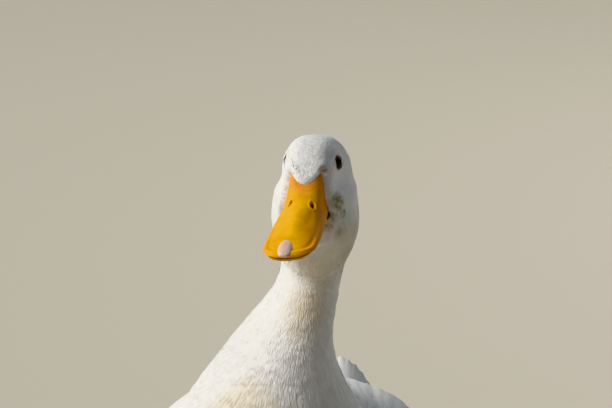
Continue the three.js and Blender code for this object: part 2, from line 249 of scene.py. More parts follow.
cameraSetup = {
    "azimuth": 10.5,  # degrees that it stands to the bird's left
    "elevation": 13.0,
    "distance": 2.5,
    "widthSeen": 0.3794,  # metres across the view at the head
    "below": 26.5,  # mm from the eyes down to the middle of the view
    "aside": 3.7,  # mm from the head's middle to the middle of the view
}


def towards(azimuth, elevation):
    turn, tilt = math.radians(azimuth), math.radians(elevation)
    return Vector((math.sin(turn) * math.cos(tilt), -math.cos(turn) * math.cos(tilt), math.sin(tilt)))


def aimed(name, data, target, back, distance):
    piece = linked(name, data)
    piece.location = target + back * distance
    piece.rotation_euler = (-back).to_track_quat("-Z", "Y").to_euler()
    return piece


def makeCamera():
    s = cameraSetup
    turn = math.radians(s["azimuth"])
    right = Vector((math.cos(turn), math.sin(turn), 0))
    target = at(headSide, eyeAhead, eyeUp - s["below"]) - right * s["aside"] * mm
    data = bpy.data.cameras.new("camera")
    data.sensor_width = 36
    data.lens = data.sensor_width * s["distance"] / s["widthSeen"]
    data.clip_end = 30
    back = towards(s["azimuth"], s["elevation"])
    bpy.context.scene.camera = aimed("camera", data, target, back, s["distance"])
    return target


studio = {
    "key": {"azimuth": -75, "elevation": 36, "far": 4.5, "angle": 28, "power": 3.7,
            "colour": (1, 0.965, 0.91)},
    "front": {"azimuth": -20, "elevation": 28, "far": 2.6, "size": 1.6, "power": 0.7,
              "colour": (1, 0.97, 0.93)},
    "back": {"azimuth": 152, "elevation": 24, "far": 2.6, "size": 1.8, "power": 13,
             "colour": (0.95, 0.97, 1)},
    "sky": {"colour": (0.66, 0.82, 1.0), "strength": 0.125},
    "floor": {"colour": (0.58, 0.535, 0.445), "roughness": 0.85, "radius": 12},
    "exposure": 0.1,
}


def makeStudio(target):
    for name in ("key", "front", "back"):
        lamp = studio[name]
        data = bpy.data.lights.new(name, "SUN" if "angle" in lamp else "AREA")
        if "angle" in lamp:
            data.angle = math.radians(lamp["angle"])
        else:
            data.shape, data.size = "DISK", lamp["size"]
        data.energy, data.color = lamp["power"], lamp["colour"]
        aimed(name, data, target, towards(lamp["azimuth"], lamp["elevation"]), lamp["far"])
    view = bpy.context.scene.view_settings
    # plain colours that keep their detail in the whites
    view.view_transform, view.exposure = "Khronos PBR Neutral", studio["exposure"]
    world = bpy.data.worlds.new("studio")
    bpy.context.scene.world = world
    world.use_nodes = True
    background = world.node_tree.nodes["Background"]
    background.inputs["Color"].default_value = (*studio["sky"]["colour"], 1)
    background.inputs["Strength"].default_value = studio["sky"]["strength"]
    r = studio["floor"]["radius"]
    floor = newObject("floor", [(-r, -r, 0), (r, -r, 0), (r, r, 0), (-r, r, 0)], [(0, 1, 2, 3)])
    material, _, shader = newMaterial("paleFloor", studio["floor"]["roughness"])
    shader.inputs["Base Color"].default_value = (*studio["floor"]["colour"], 1)
    floor.data.materials.append(material)


# Shared shading

def newMaterial(name, roughness, **sockets):
    material = bpy.data.materials.new(name)
    material.use_nodes = True
    tree = material.node_tree
    shader = tree.nodes["Principled BSDF"]
    for socket, value in {"Roughness": roughness, **sockets}.items():
        shader.inputs[socket].default_value = value
    return material, tree, shader


def objectPlace(tree):
    return addNode(tree, "ShaderNodeTexCoord").outputs["Object"]


def plug(tree, socket, value):
    if isinstance(value, bpy.types.NodeSocket):
        tree.links.new(value, socket)
    else:
        socket.default_value = value


def addNode(tree, kind, inputs=None, **settings):
    node = tree.nodes.new(kind)
    for name, value in settings.items():
        setattr(node, name, value)
    for name, value in (inputs or {}).items():
        plug(tree, node.inputs[name], value)
    return node


def newGroup(name, kind, inputs, outputs):
    tree = bpy.data.node_groups.new(name, kind)
    for way, entries in (("INPUT", inputs), ("OUTPUT", outputs)):
        for entry, socket in entries.items():
            tree.interface.new_socket(name=entry, in_out=way, socket_type="NodeSocket" + socket)
    return tree, tree.nodes.new("NodeGroupInput").outputs, tree.nodes.new("NodeGroupOutput").inputs


def addNoise(tree, place, scale, detail, **more):
    inputs = {"Vector": place, "Scale": scale, "Detail": detail, **more}
    return addNode(tree, "ShaderNodeTexNoise", inputs).outputs["Fac"]


def addMask(tree, name):
    return addNode(tree, "ShaderNodeAttribute", attribute_name=name).outputs["Fac"]


def addRamp(tree, source, *stops):
    node = addNode(tree, "ShaderNodeValToRGB", {"Fac": source})
    elements = node.color_ramp.elements
    while len(elements) < len(stops):
        elements.new(0.5)
    for element, (place, colour) in zip(elements, stops):
        element.position, element.color = place, (*colour, 1)
    return node.outputs["Color"]


def mixColour(tree, share, a, b):
    node = addNode(tree, "ShaderNodeMix", data_type="RGBA")
    for index, value in ((0, share), (6, a), (7, b)):
        plug(tree, node.inputs[index], (*value, 1) if isinstance(value, tuple) else value)
    return node.outputs[2]


def mathNode(tree, operation, *values, clamp=False):
    node = addNode(tree, "ShaderNodeMath", operation=operation, use_clamp=clamp)
    for index, value in enumerate(values):
        plug(tree, node.inputs[index], value)
    return node.outputs[0]


def tinted(tree, colour, tint, mask, most):
    # lays the tint over the colour where the mask is, by most of it where the mask is full
    return mixColour(tree, mathNode(tree, "MULTIPLY", mask, most), colour, tint)


def painted(material, colour):
    plug(material.node_tree, material.node_tree.nodes["Principled BSDF"].inputs["Base Color"], colour)
    return material


def nearness(tree, place, spot, reach, wobble=None, clamp=False):
    # 1 at the spot, 0 at its reach in mm
    node = addNode(tree, "ShaderNodeVectorMath", {0: place, 1: at(*spot)}, operation="DISTANCE")
    away = mathNode(tree, "ADD", node.outputs["Value"], wobble) if wobble else node.outputs["Value"]
    return mathNode(tree, "SUBTRACT", 1.0, mathNode(tree, "DIVIDE", away, reach * mm), clamp=clamp)


def raised(tree, height, strength, distance):
    inputs = {"Height": height, "Strength": strength, "Distance": distance}
    return addNode(tree, "ShaderNodeBump", inputs).outputs["Normal"]


def grainGroup():
    # the fine grain that all bare parts share: its value, a roughness and a normal that follow it
    floats = ("Scale", "Detail", "Least", "Spread", "Strength", "Distance")
    tree, given, end = newGroup(
        "fineGrain", "ShaderNodeTree", {"Vector": "Vector", **dict.fromkeys(floats, "Float")},
        {"Grain": "Float", "Roughness": "Float", "Normal": "Vector"})
    grain = addNoise(tree, given["Vector"], given["Scale"], given["Detail"])
    plug(tree, end["Grain"], grain)
    plug(tree, end["Roughness"], mathNode(tree, "MULTIPLY_ADD", grain, given["Spread"], given["Least"]))
    plug(tree, end["Normal"], raised(tree, grain, given["Strength"], given["Distance"]))
    return tree


def addGrain(tree, shader, place, scale, detail, least, spread, strength=0.0, distance=0.0):
    # roughness runs from least upwards; a strength also raises the grain, by a distance in mm
    node = addNode(tree, "ShaderNodeGroup", node_tree=fineGrain)
    values = {"Vector": place, "Scale": scale, "Detail": detail, "Least": least, "Spread": spread,
              "Strength": strength, "Distance": distance * mm}
    for name, value in values.items():
        plug(tree, node.inputs[name], value)
    plug(tree, shader.inputs["Roughness"], node.outputs["Roughness"])
    if strength:
        plug(tree, shader.inputs["Normal"], node.outputs["Normal"])
    return node.outputs["Grain"]


# Plumage colour: (side, ahead, up) of each patch, its reach in mm and its strength

plumageTint = {
    "white": (0.87, 0.865, 0.845),
    "cream": (0.75, 0.645, 0.465),
    "stain": (0.36, 0.305, 0.165),
    "warmPatches": [((32, 108, 345), 20, 0.6), ((24, 116, 324), 22, 0.85), ((-8, 144, 252), 42, 0.85),
                    ((20, 150, 215), 48, 0.5), ((4, 155, 140), 60, 0.4), ((45, 100, 358), 26, 0.5)],
    "stainPatches": [((45.5, 111, 392), 8, 1.0), ((46.5, 108, 385), 6.5, 1.0), ((42.5, 114, 384), 6, 0.95),
                     ((45, 110, 374), 7.5, 0.5), ((46, 104, 376), 17, 0.28), ((44, 98, 352), 24, 0.14),
                     ((13, 112, 384), 6, 0.35), ((38.5, 119, 415), 4, 0.45), ((41, 118, 378), 5, 0.6),
                     ((20, 118, 316), 10, 0.2), ((27, 118, 343), 9, 0.2)],
}


def plumageGroup():
    tree, given, end = newGroup("plumageColour", "ShaderNodeTree", {"Shade": "Float"},
                                {"Color": "Color", "Stained": "Float"})
    place = objectPlace(tree)
    rough, blotch = addNoise(tree, place, 140.0, 4.0), addNoise(tree, place, 34.0, 3.0)

    def patches(entries):
        total = None
        for spot, reach, strength in entries:
            wobble = mathNode(tree, "MULTIPLY_ADD", blotch, reach * mm * 0.9, reach * mm * -0.45)
            near = mathNode(tree, "MAXIMUM", nearness(tree, place, spot, reach, wobble), 0.0)
            part = mathNode(tree, "MULTIPLY", mathNode(tree, "SMOOTH_MIN", near, 0.6, 0.3), strength / 0.6)
            total = mathNode(tree, "MAXIMUM", total, part) if total else part
        broken = mathNode(tree, "MULTIPLY_ADD", rough, 1.1, 0.35)
        return mathNode(tree, "MULTIPLY", total, broken, clamp=True)

    warm, stained = patches(plumageTint["warmPatches"]), patches(plumageTint["stainPatches"])
    mottled = mathNode(tree, "MULTIPLY_ADD", given["Shade"], 1.5, 0.35)
    stained = mathNode(tree, "MULTIPLY", stained, mottled, clamp=True)
    colour = mixColour(tree, warm, plumageTint["white"], plumageTint["cream"])
    colour = mixColour(tree, stained, colour, plumageTint["stain"])
    shaded = mathNode(tree, "MULTIPLY_ADD", given["Shade"], 0.09, 0.93)
    scaled = addNode(tree, "ShaderNodeVectorMath", {0: colour, "Scale": shaded}, operation="SCALE")
    plug(tree, end["Color"], scaled.outputs["Vector"])
    plug(tree, end["Stained"], stained)
    return tree


vaneTint = {
    "spacing": 5.5, "strength": 0.16, "height": 0.2,  # of the barbs
    "shaft": (0.72, 0.66, 0.54), "shaftShare": 0.6,
    # painted shade: a grey along each vane's edges and tip, for the shadow lines where feathers overlap
    "rim": (0.60, 0.58, 0.54), "edgeShadeShare": 0.45,
}


def plumageMaterial(name, tufted=True, barbs=None):
    material, tree, shader = newMaterial(
        name, 0.62, **{"Sheen Weight": 0.12, "Sheen Roughness": 0.5, "Specular IOR Level": 0.2})
    group = addNode(tree, "ShaderNodeGroup", node_tree=plumageColour)
    plug(tree, group.inputs["Shade"], addMask(tree, "tuftShade") if tufted else 0.5)
    colour = group.outputs["Color"]
    roughness = mathNode(tree, "MULTIPLY_ADD", group.outputs["Stained"], -0.18, 0.62)
    plug(tree, shader.inputs["Roughness"], roughness)
    if barbs:
        off = mathNode(tree, "ABSOLUTE", addMask(tree, "offShaft"))
        slant = mathNode(tree, "MULTIPLY_ADD", off, -0.9, addMask(tree, "barb"))
        wave = mathNode(tree, "SINE", mathNode(tree, "MULTIPLY", slant, barbs["spacing"]))
        plug(tree, shader.inputs["Normal"], raised(tree, wave, barbs["strength"], barbs["height"] * mm))
        shaft = mathNode(tree, "SUBTRACT", 1.0, mathNode(tree, "DIVIDE", off, 0.5), clamp=True)
        colour = tinted(tree, colour, barbs["shaft"], shaft, barbs["shaftShare"])
        # painted shade along the vanes' edges and tips, where they overlap
        colour = tinted(tree, colour, barbs["rim"], addMask(tree, "vaneEdgeShade"), barbs["edgeShadeShare"])
    return painted(material, colour)


# The skin under the plumage: the flesh solids made one smooth surface, sunk by the coat's depth

skinSetup = {
    "nodes": ["head", "neck", "breast", "trunk", "rump", "wing_left", "wing_right",
              "thigh_left", "thigh_right"],
    "bare": ["upper_bill", "lower_bill", "eye_left", "eye_right"],  # the skin closes under them
    "weld": 0.35,  # mm that each flesh solid grows, so that thin gaps close
    "voxel": 2.0,
    "headRounds": 5,
    "bodyRounds": 60,
    "smoothBelow": (275, 335),  # up, from where the body rounds tell to where they stop
    # mm that the coat is deep on the body, and how much less on the neck and on the head
    "depth": 1.4, "neckLess": 0.3, "headLess": 0.2,
    "thinnest": 0.35,  # share of that depth where the feathers meet the bill
    "byEye": 0.75,  # share of it that is gone round the eye
    # mm that the skin sinks below the bill and the eyeball, and above the cheek, and mm that the cheek swells
    "underBill": 2.6, "underEye": 2.2, "browHollow": 0.9, "cheekSwell": 0.8,
}
billBase = {"hornSide": 9.4, "hornAhead": 118.9, "hornUp": 417.4, "gapeAhead": 117.0, "gapeUp": 387.0,
            "browAhead": 125.3, "browUp": 406.3}
gaze = Vector((0.94, 0.28, 0.16)).normalized()  # side, ahead, up of the way the left eye looks
inAndOut = [0.5, -0.52]  # two pushes that even a surface out and keep its size


def aheadOfFeathers(side, ahead, up):
    # mm ahead of the line where the feathers end at the bill, with the lobe that they form on the forehead
    b = billBase
    lateral = np.abs(side - headSide)
    high = b["hornUp"] - b["gapeUp"]
    face = b["gapeAhead"] + (b["hornAhead"] - b["gapeAhead"]) * (up - b["gapeUp"]) / high
    downAhead, downUp = b["browAhead"] - b["hornAhead"], b["browUp"] - b["hornUp"]
    deep = math.hypot(downAhead, downUp)
    along = ((ahead - b["hornAhead"]) * downAhead + (up - b["hornUp"]) * downUp) / deep
    lobe = deep * np.sqrt(np.clip(1 - (lateral / b["hornSide"]) ** 2, 0, 1))
    inLobe = (lateral < b["hornSide"]) & (up > b["browUp"] - 14)
    return np.where(inLobe, np.minimum(ahead - face, (along - lobe) * 0.8), ahead - face)


def eyeDistance(side, ahead, up):
    # mm from the line along which the eye looks; far off behind it and below the eyes
    way = np.where(side > headSide, 1, -1)
    dx, dy, dz = (side - headSide) * way - eyeSide, ahead - eyeAhead, up - eyeUp
    along = dx * gaze.x + dy * gaze.y + dz * gaze.z
    across = np.sqrt(np.maximum(dx**2 + dy**2 + dz**2 - along**2, 0))
    return np.where((along > 0) & (up > 395), across, 99)


def keepLargest(mesh):
    # only the outer surface stays: what the voxels closed off inside goes
    edges = pulled(mesh.edges, "vertices", 2, np.int32)
    label, before = np.arange(len(mesh.vertices)), None
    while before is None or np.any(label != before):
        before, low = label.copy(), label[edges].min(1)
        np.minimum.at(label, edges[:, 0], low)
        np.minimum.at(label, edges[:, 1], low)
        label = label[label]
    loose = label != np.bincount(label).argmax()
    shell = bmesh.new()
    shell.from_mesh(mesh)
    bmesh.ops.delete(shell, geom=[v for v in shell.verts if loose[v.index]], context="VERTS")
    shell.to_mesh(mesh)
    shell.free()


def makeSkin():
    s, whole = skinSetup, bmesh.new()
    for name in s["nodes"] + s["bare"]:
        part = bmesh.new()
        part.from_mesh(frame["nodes"][name].data)
        bmesh.ops.remove_doubles(part, verts=part.verts, dist=1e-6)
        part.normal_update()
        for vertex in part.verts:
            vertex.co += vertex.normal * (0 if name in s["bare"] else s["weld"] * mm)
        mesh = bpy.data.meshes.new("part")
        part.to_mesh(mesh)
        part.free()
        whole.from_mesh(mesh)
        bpy.data.meshes.remove(mesh)
    mesh = voxelled("skin", whole, s["voxel"])
    keepLargest(mesh)

    points = pointsOf(mesh)
    belowNeck = 1 - ramp(points[:, 2] / mm, *s["smoothBelow"])
    points = smoothed(points, mesh, inAndOut * s["headRounds"])
    points = smoothed(points, mesh, [0.6] * s["bodyRounds"], belowNeck[:, None])
    movePoints(mesh, points)
    side, ahead, up = measures(points)
    # the coat is thin on the head, thinner by the bill and round the eyes, and ends at the bill
    depth = s["depth"] - s["neckLess"] * ramp(up, 250, 300) - s["headLess"] * ramp(up, 320, 360)
    beyond = np.where(up < headLow, -50, aheadOfFeathers(side, ahead, up))
    thinner = s["thinnest"] + (1 - s["thinnest"]) * ramp(-beyond, 0, 9)
    depth = np.where(up > headLow, depth * thinner, depth) + s["underBill"] * ramp(beyond, -0.1, 1.7)
    outer = ramp(np.abs(side - headSide), 12, 20) * ramp(ahead, 70, 80)
    cheek = s["browHollow"] * bump(up, 404, 4.5) - s["cheekSwell"] * bump(up, 395.5, 4.5)
    depth += outer * cheek * (up > 380)
    eyeNear = eyeDistance(side, ahead, up)
    depth = depth * (1 - s["byEye"] * (1 - ramp(eyeNear, 5, 9)))
    depth += s["underEye"] * (1 - ramp(eyeNear, 3.2, 4.8))
    points = points - normalsOf(mesh) * (depth * mm)[:, None]
    # inside the bill the skin draws in to a point
    _, ahead, up = measures(points)
    draw = np.where(up > headLow, ramp(ahead, 124, 150), 0)[:, None]
    core = np.stack([np.full_like(up, headX), points[:, 1], (396 - (ahead - 124) * 0.33) * mm], 1)
    movePoints(mesh, points + (core - points) * draw * 0.75)
    shadeSmooth(mesh)
    return linked("skin", mesh)


# Which way the feathers lie, where each kind grows, and the unwrap of the skin

wingSetup = {
    # ahead and up of the rump's back
    "rumpLine": [(-190, 158), (-170, 169), (-154, 179), (-122, 196), (-78, 218)],
    # the edge where the flank's feathers cover the wing: ahead, and share of the way across the wing
    "lowEdge": [(-164, 0.9), (-142, 0.62), (-118, 0.5), (-96, 0.66), (-60, 0.86)],
    # ahead, middle height, half width and half height of the body there, and the wing's upper and lower
    # edge as angles from straight up, with how far it stands out; all as the solids have them
    "rings": np.array([
        (99, 165, 80, 103, 70, 88, 3), (86, 164, 86.5, 103, 54, 103, 8), (45, 160, 92, 104, 36, 107, 9),
        (-15, 150, 91, 97, 26, 104, 10), (-70, 143, 82, 80, 20, 92, 10), (-112, 147, 67, 60, 16, 80, 8),
        (-145, 170, 34, 26, 18, 72, 5), (-174, 188, 17, 9, 40, 80, 2),
    ]),
    # rows from the lowest layer to the top one: feather, how many, how far across the wing the row starts
    # and ends, how far ahead its roots are at the top and at the bottom, length there, width and height
    "rows": [
        ("primary", 6, (0.20, 0.62), (-62, -50), (110, 84), 17, 4.6),
        ("secondary", 10, (0.34, 0.97), (-26, 2), (82, 58), 21, 4.9),
        ("covert", 13, (0.30, 1.02), (12, 26), (54, 40), 19, 5.0),
        ("covert", 16, (0.26, 1.03), (32, 44), (40, 31), 16, 5.2),
        ("covert", 18, (0.20, 1.03), (48, 57), (32, 26), 14, 5.3),
        ("covert", 18, (0.16, 1.02), (60, 68), (28, 23), 13, 5.3),
        ("covert", 17, (0.12, 1.0), (71, 79), (25, 21), 12, 5.3),
        ("covert", 14, (0.06, 0.98), (82, 90), (23, 19), 11.5, 5.3),
        ("tertial", 8, (-0.27, 0.30), (-22, -8), (84, 96), 25, 5.6),
        ("scapular", 10, (-0.32, 0.28), (8, 16), (62, 62), 21, 5.9),
        ("scapular", 11, (-0.38, 0.26), (34, 40), (48, 50), 19, 6.1),
        ("scapular", 13, (-0.5, 0.24), (52, 60), (36, 40), 16, 6.1),
        ("scapular", 15, (-0.66, 0.2), (64, 74), (28, 30), 13, 5.8),
    ],
    "press": {"tertial": 4.5},  # mm that a tip lies closer than its root
}


def wingAt(ahead, *columns):
    rings = wingSetup["rings"]
    return (np.interp(-ahead, -rings[:, 0], rings[:, k]) for k in columns)


def underWing(side, ahead, up):
    # 1 where the long feathers of a folded wing cover the skin
    centre, wide, high, start, end = wingAt(ahead, 1, 2, 3, 4, 5)
    angle = np.degrees(np.arctan2(np.abs(side) / wide, (up - centre) / high))
    share = (angle - start) / (end - start)
    out = np.hypot(side / wide, (up - centre) / high)
    lowEdge = np.interp(ahead, *zip(*wingSetup["lowEdge"]))
    inside = np.maximum(ramp(share, -0.12, -0.02), ramp(ahead, -98, -88))
    inside = inside * (1 - ramp(share - lowEdge, 0, 0.09)) * ramp(out, 0.6, 0.8)
    frontEdge = 46 + 26 * ramp(share, 0.06, 0.24)
    inside = inside * ramp(ahead, -172, -160) * (1 - ramp(ahead - frontEdge, 0, 10))
    # the folded tips stand clear of the rump
    rump = np.interp(ahead, *zip(*wingSetup["rumpLine"]))
    return np.maximum(inside, ramp(up - rump, 0, 4) * (1 - ramp(ahead, -104, -92)))


def outsideBill(points, bill):
    # how far each point stands clear of the bill, in mm; less than zero inside it
    clear = np.full(len(points), 9.0)
    _, ahead, up = measures(points)
    near = np.flatnonzero((ahead > 112) & (up > 366))
    for piece in bill:
        mesh = piece.data
        tree = BVHTree.FromPolygons([v.co for v in mesh.vertices], [p.vertices for p in mesh.polygons])
        for index in near:
            point = Vector(points[index])
            place, normal, _, away = tree.find_nearest(point)
            clear[index] = min(clear[index], away / mm if (point - place).dot(normal) > 0 else -away / mm)
    return clear


def blended(a, b, share):
    return a * (1 - share) + b * share


plumageSetup = {
    "billRoot": (124, 398),  # ahead and up of the place from which the head's feathers run
    "neckLie": (-0.12, -0.12, -1.0), "throatLie": (0, -0.25, -1.0),  # side, ahead, up of the way they point
    # where one kind of feather gives way to the next: up, up, ahead, ahead and side
    "neckFrom": (268, 292), "headFrom": (346, 358), "faceFrom": (91, 95), "breastFrom": (40, 70),
    "leftFrom": (-1.5, 1.5),
    "smallest": 0.55, "byEye": 0.6, "onBelly": 0.6,  # sizes, as shares of the whole
    # degrees that they stand up beside the bill and on the loose throat, with the throat's middle and reach
    "billRise": 20, "throatRise": 11, "throat": (20, 124, 340), "throatReach": (20, 16, 24),
}


def layPlumage(mesh, bill):
    s = plumageSetup
    points, normals = pointsOf(mesh), normalsOf(mesh)
    side, ahead, up = measures(points)
    # on the head the feathers run back from the bill, down the neck, and back along the body
    here = np.stack([side, ahead, up], 1)
    fromBill = here - (headSide, *s["billRoot"])
    billFar = np.linalg.norm(fromBill, axis=1)
    headLie = blended(unit(fromBill), np.array(s["throatLie"]), ramp(billFar, 22, 68)[:, None])
    front = ramp(ahead, 55, 125)
    aside = side * 0.0015 + np.sign(side) * 0.1 * front
    bodyLie = np.stack([aside, -(1.0 - 0.62 * front), -(0.16 + 0.9 * front)], 1)
    lie = blended(np.array(s["neckLie"]), bodyLie, (1 - ramp(up, 235, 300))[:, None])
    lie = blended(lie, headLie, ramp(up, 345, 375)[:, None])
    lie[:, 1] *= -1  # ahead is -y
    lie -= normals * np.sum(lie * normals, axis=1, keepdims=True)
    setValues(mesh, "lie", unit(lie), "FLOAT_VECTOR")

    beyond, eyeNear = aheadOfFeathers(side, ahead, up), eyeDistance(side, ahead, up)
    covered = 1 - ramp(beyond, 0.5, 1.9)
    covered = np.maximum(covered, ramp(outsideBill(points, bill), -0.2, 0.3) * (1 - ramp(beyond, 5, 7)))
    covered = np.where(up > headLow, covered, 1) * ramp(eyeNear, 4.6, 5.2)
    onHead, onNeck = ramp(up, *s["headFrom"]), ramp(up, *s["neckFrom"])
    below = (1 - onNeck) * (1 - underWing(side, ahead, up))
    face, front, left = ramp(ahead, *s["faceFrom"]), ramp(ahead, *s["breastFrom"]), ramp(side, *s["leftFrom"])
    zones = {
        "faceZone": onHead * covered * face,
        "napeZone": onHead * covered * (1 - face),
        "neckZone": onNeck * (1 - onHead),
        "breastLeft": below * front * left,
        "breastRight": below * front * (1 - left),
        "bodyLeft": below * (1 - front) * left,
        "bodyRight": below * (1 - front) * (1 - left),
    }
    for name, values in zones.items():
        setValues(mesh, name, values)
    size = s["smallest"] + (1 - s["smallest"]) * ramp(billFar, 4, 30)
    size = np.where(up > headLow, size * (s["byEye"] + (1 - s["byEye"]) * ramp(eyeNear, 5, 11)), 1)
    setValues(mesh, "featherSize", size * (1 - (1 - s["onBelly"]) * (1 - ramp(up, 62, 92))))
    # beside the bill the skin curves up under the feathers, so they stand steeper there, and so they do on
    # the loose throat
    byBill = (1 - ramp(-beyond, 0.5, 6)) * ((up > headLow) & (ahead > 104))
    throat = 1 - ramp(np.linalg.norm((here - s["throat"]) / s["throatReach"], axis=1), 0.4, 1.3)
    setValues(mesh, "rise", np.radians(s["billRise"]) * byBill + np.radians(s["throatRise"]) * throat)


coatSetup = {
    # the bird's own middle line from rump to bill, for the unwrap
    "middleLine": np.array([
        (0, -190, 190), (0, -120, 150), (0, -30, 150), (0, 55, 165), (0, 100, 215), (3, 105, 265),
        (18, 88, 320), (27, 82, 362), (28, 86, 395), (28, 130, 392)], float),
    "wrapTilt": 25,  # degrees that the unwrap's top leans back
    "patch": 0.003,  # across a tuft's patch on the unwrap
}


def unwrapped(side, ahead, up):
    # a cylinder round the middle line: the angle round it, and the way along it
    line = coatSetup["middleLine"]
    lengths = np.linalg.norm(np.diff(line, axis=0), axis=1)
    start = np.concatenate([[0], np.cumsum(lengths)])
    here = np.stack([side, ahead, up], 1)
    best, place, offset = np.full(len(here), 1e9), np.zeros(len(here)), np.zeros_like(here)
    for a, b, first, length in zip(line[:-1], line[1:], start, lengths):
        t = np.clip(((here - a) @ (b - a)) / length**2, 0, 1)
        nearest = a + t[:, None] * (b - a)
        away = np.linalg.norm(here - nearest, axis=1)
        closer = away < best
        best = np.where(closer, away, best)
        place = np.where(closer, first + t * length, place)
        offset = np.where(closer[:, None], here - nearest, offset)
    tilt = math.radians(coatSetup["wrapTilt"])
    lift = offset[:, 2] * math.cos(tilt) - offset[:, 1] * math.sin(tilt)
    return np.arctan2(offset[:, 0], lift) / (2 * math.pi) + 0.5, place / start[-1]


def wrapUV(around, along):
    return np.stack([np.clip(around, 0, 1) * 0.99 + 0.005, along * 0.99 + 0.005], 1).astype(np.float32)


def addUnwrap(mesh):
    around, along = unwrapped(*measures(pointsOf(mesh)))
    corners = cornersOf(mesh)
    starts, totals = (pulled(mesh.polygons, what, kind=np.int32) for what in ("loop_start", "loop_total"))
    face = np.repeat(np.arange(len(starts)), totals)
    u = around[corners]
    low, high = np.minimum.reduceat(u, starts)[face], np.maximum.reduceat(u, starts)[face]
    u = np.where((high - low > 0.5) & (u < 0.5), 1, u)  # faces across the seam keep to its one side
    setValues(mesh, "skinWrap", wrapUV(u, along[corners]), "FLOAT2", "CORNER")


# Tufts: every strand is a closed three-sided blade that tapers to a point

tuftSetup = {
    # short strands for the head, longer ones for the neck, spread fans for the body: how many, degrees that
    # they spread, mm across their roots, length, width, thickness, and arch as a share of the length
    "head": (4, 18, 1.3, 4.4, 0.8, 0.055, 0.012),
    "neck": (5, 20, 2.2, 8.0, 1.0, 0.08, 0.012),
    "body": (9, 30, 4.4, 14.0, 2.0, 0.07, 0.006),
    "kinds": 4,  # of each
    "rings": 2,  # along a strand
}


def bladeMesh(strands, rings):
    # each strand: root x, length, width, thickness, turn in degrees, arch as a share of the length
    vertices, faces = [], []
    for rootX, length, width, thick, turn, arch in strands:
        first, bend = len(vertices), math.radians(turn)
        for ring in range(rings):
            t = ring / rings
            half = width / 2 * (0.55 + 0.75 * t) * (1 - t**3) if t else width * 0.28
            reach, swing = length * t, bend * (0.35 + 0.65 * t)
            x, y = rootX + reach * math.sin(swing), reach * math.cos(swing)
            z, c, s = length * arch * math.sin(math.pi * t * 0.9), math.cos(bend * t), math.sin(bend * t)
            for dx, dz in ((half, 0), (-half, 0), (0, -thick * (1 - 0.5 * t))):
                vertices.append((x + dx * c, y - dx * s, z + dz))
        tip = len(vertices)
        vertices.append((rootX + length * math.sin(bend), length * math.cos(bend), length * arch * 0.3))
        faces.append((first, first + 1, first + 2))
        for a in range(first, tip - 3, 3):
            faces += [(a, a + 3, a + 4, a + 1), (a + 1, a + 4, a + 5, a + 2), (a + 2, a + 5, a + 3, a)]
        faces += [(tip - 3, tip, tip - 2), (tip - 2, tip, tip - 1), (tip - 1, tip, tip - 3)]
    longest = max(strand[1] for strand in strands)
    patch = [(0.5 + x / longest * 0.9, y / longest, 0) for x, y, _ in vertices]
    return vertices, faces, np.clip(patch, 0, 1)


def makeTufts(name):
    count, spread, rootWidth, length, width, thick, arch = tuftSetup[name]
    chance = np.random.default_rng(len(name) * 7 + 3)
    tufts = bpy.data.collections.new(name + "Tufts")
    for kind in range(tuftSetup["kinds"]):
        strands = []
        for index in range(count):
            share = (index + 0.5) / count * 2 - 1
            strands.append((
                share * rootWidth * 0.5 * mm,
                length * mm * (1 - 0.2 * share**2) * chance.uniform(0.82, 1.08),
                width * mm * chance.uniform(0.85, 1.15),
                thick * mm,
                share * spread * 0.5 + chance.uniform(-5, 5),
                arch * chance.uniform(0.5, 1.5),
            ))
        vertices, faces, patch = bladeMesh(strands, tuftSetup["rings"])
        tuft = newObject(f"{name}Tuft{kind}", vertices, faces)
        bpy.context.scene.collection.objects.unlink(tuft)
        tufts.objects.link(tuft)
        setValues(tuft.data, "patch", patch, "FLOAT_VECTOR")
    return tufts


# Geometry Nodes: tufts over the skin, each turned to the lie there and laid at a low angle

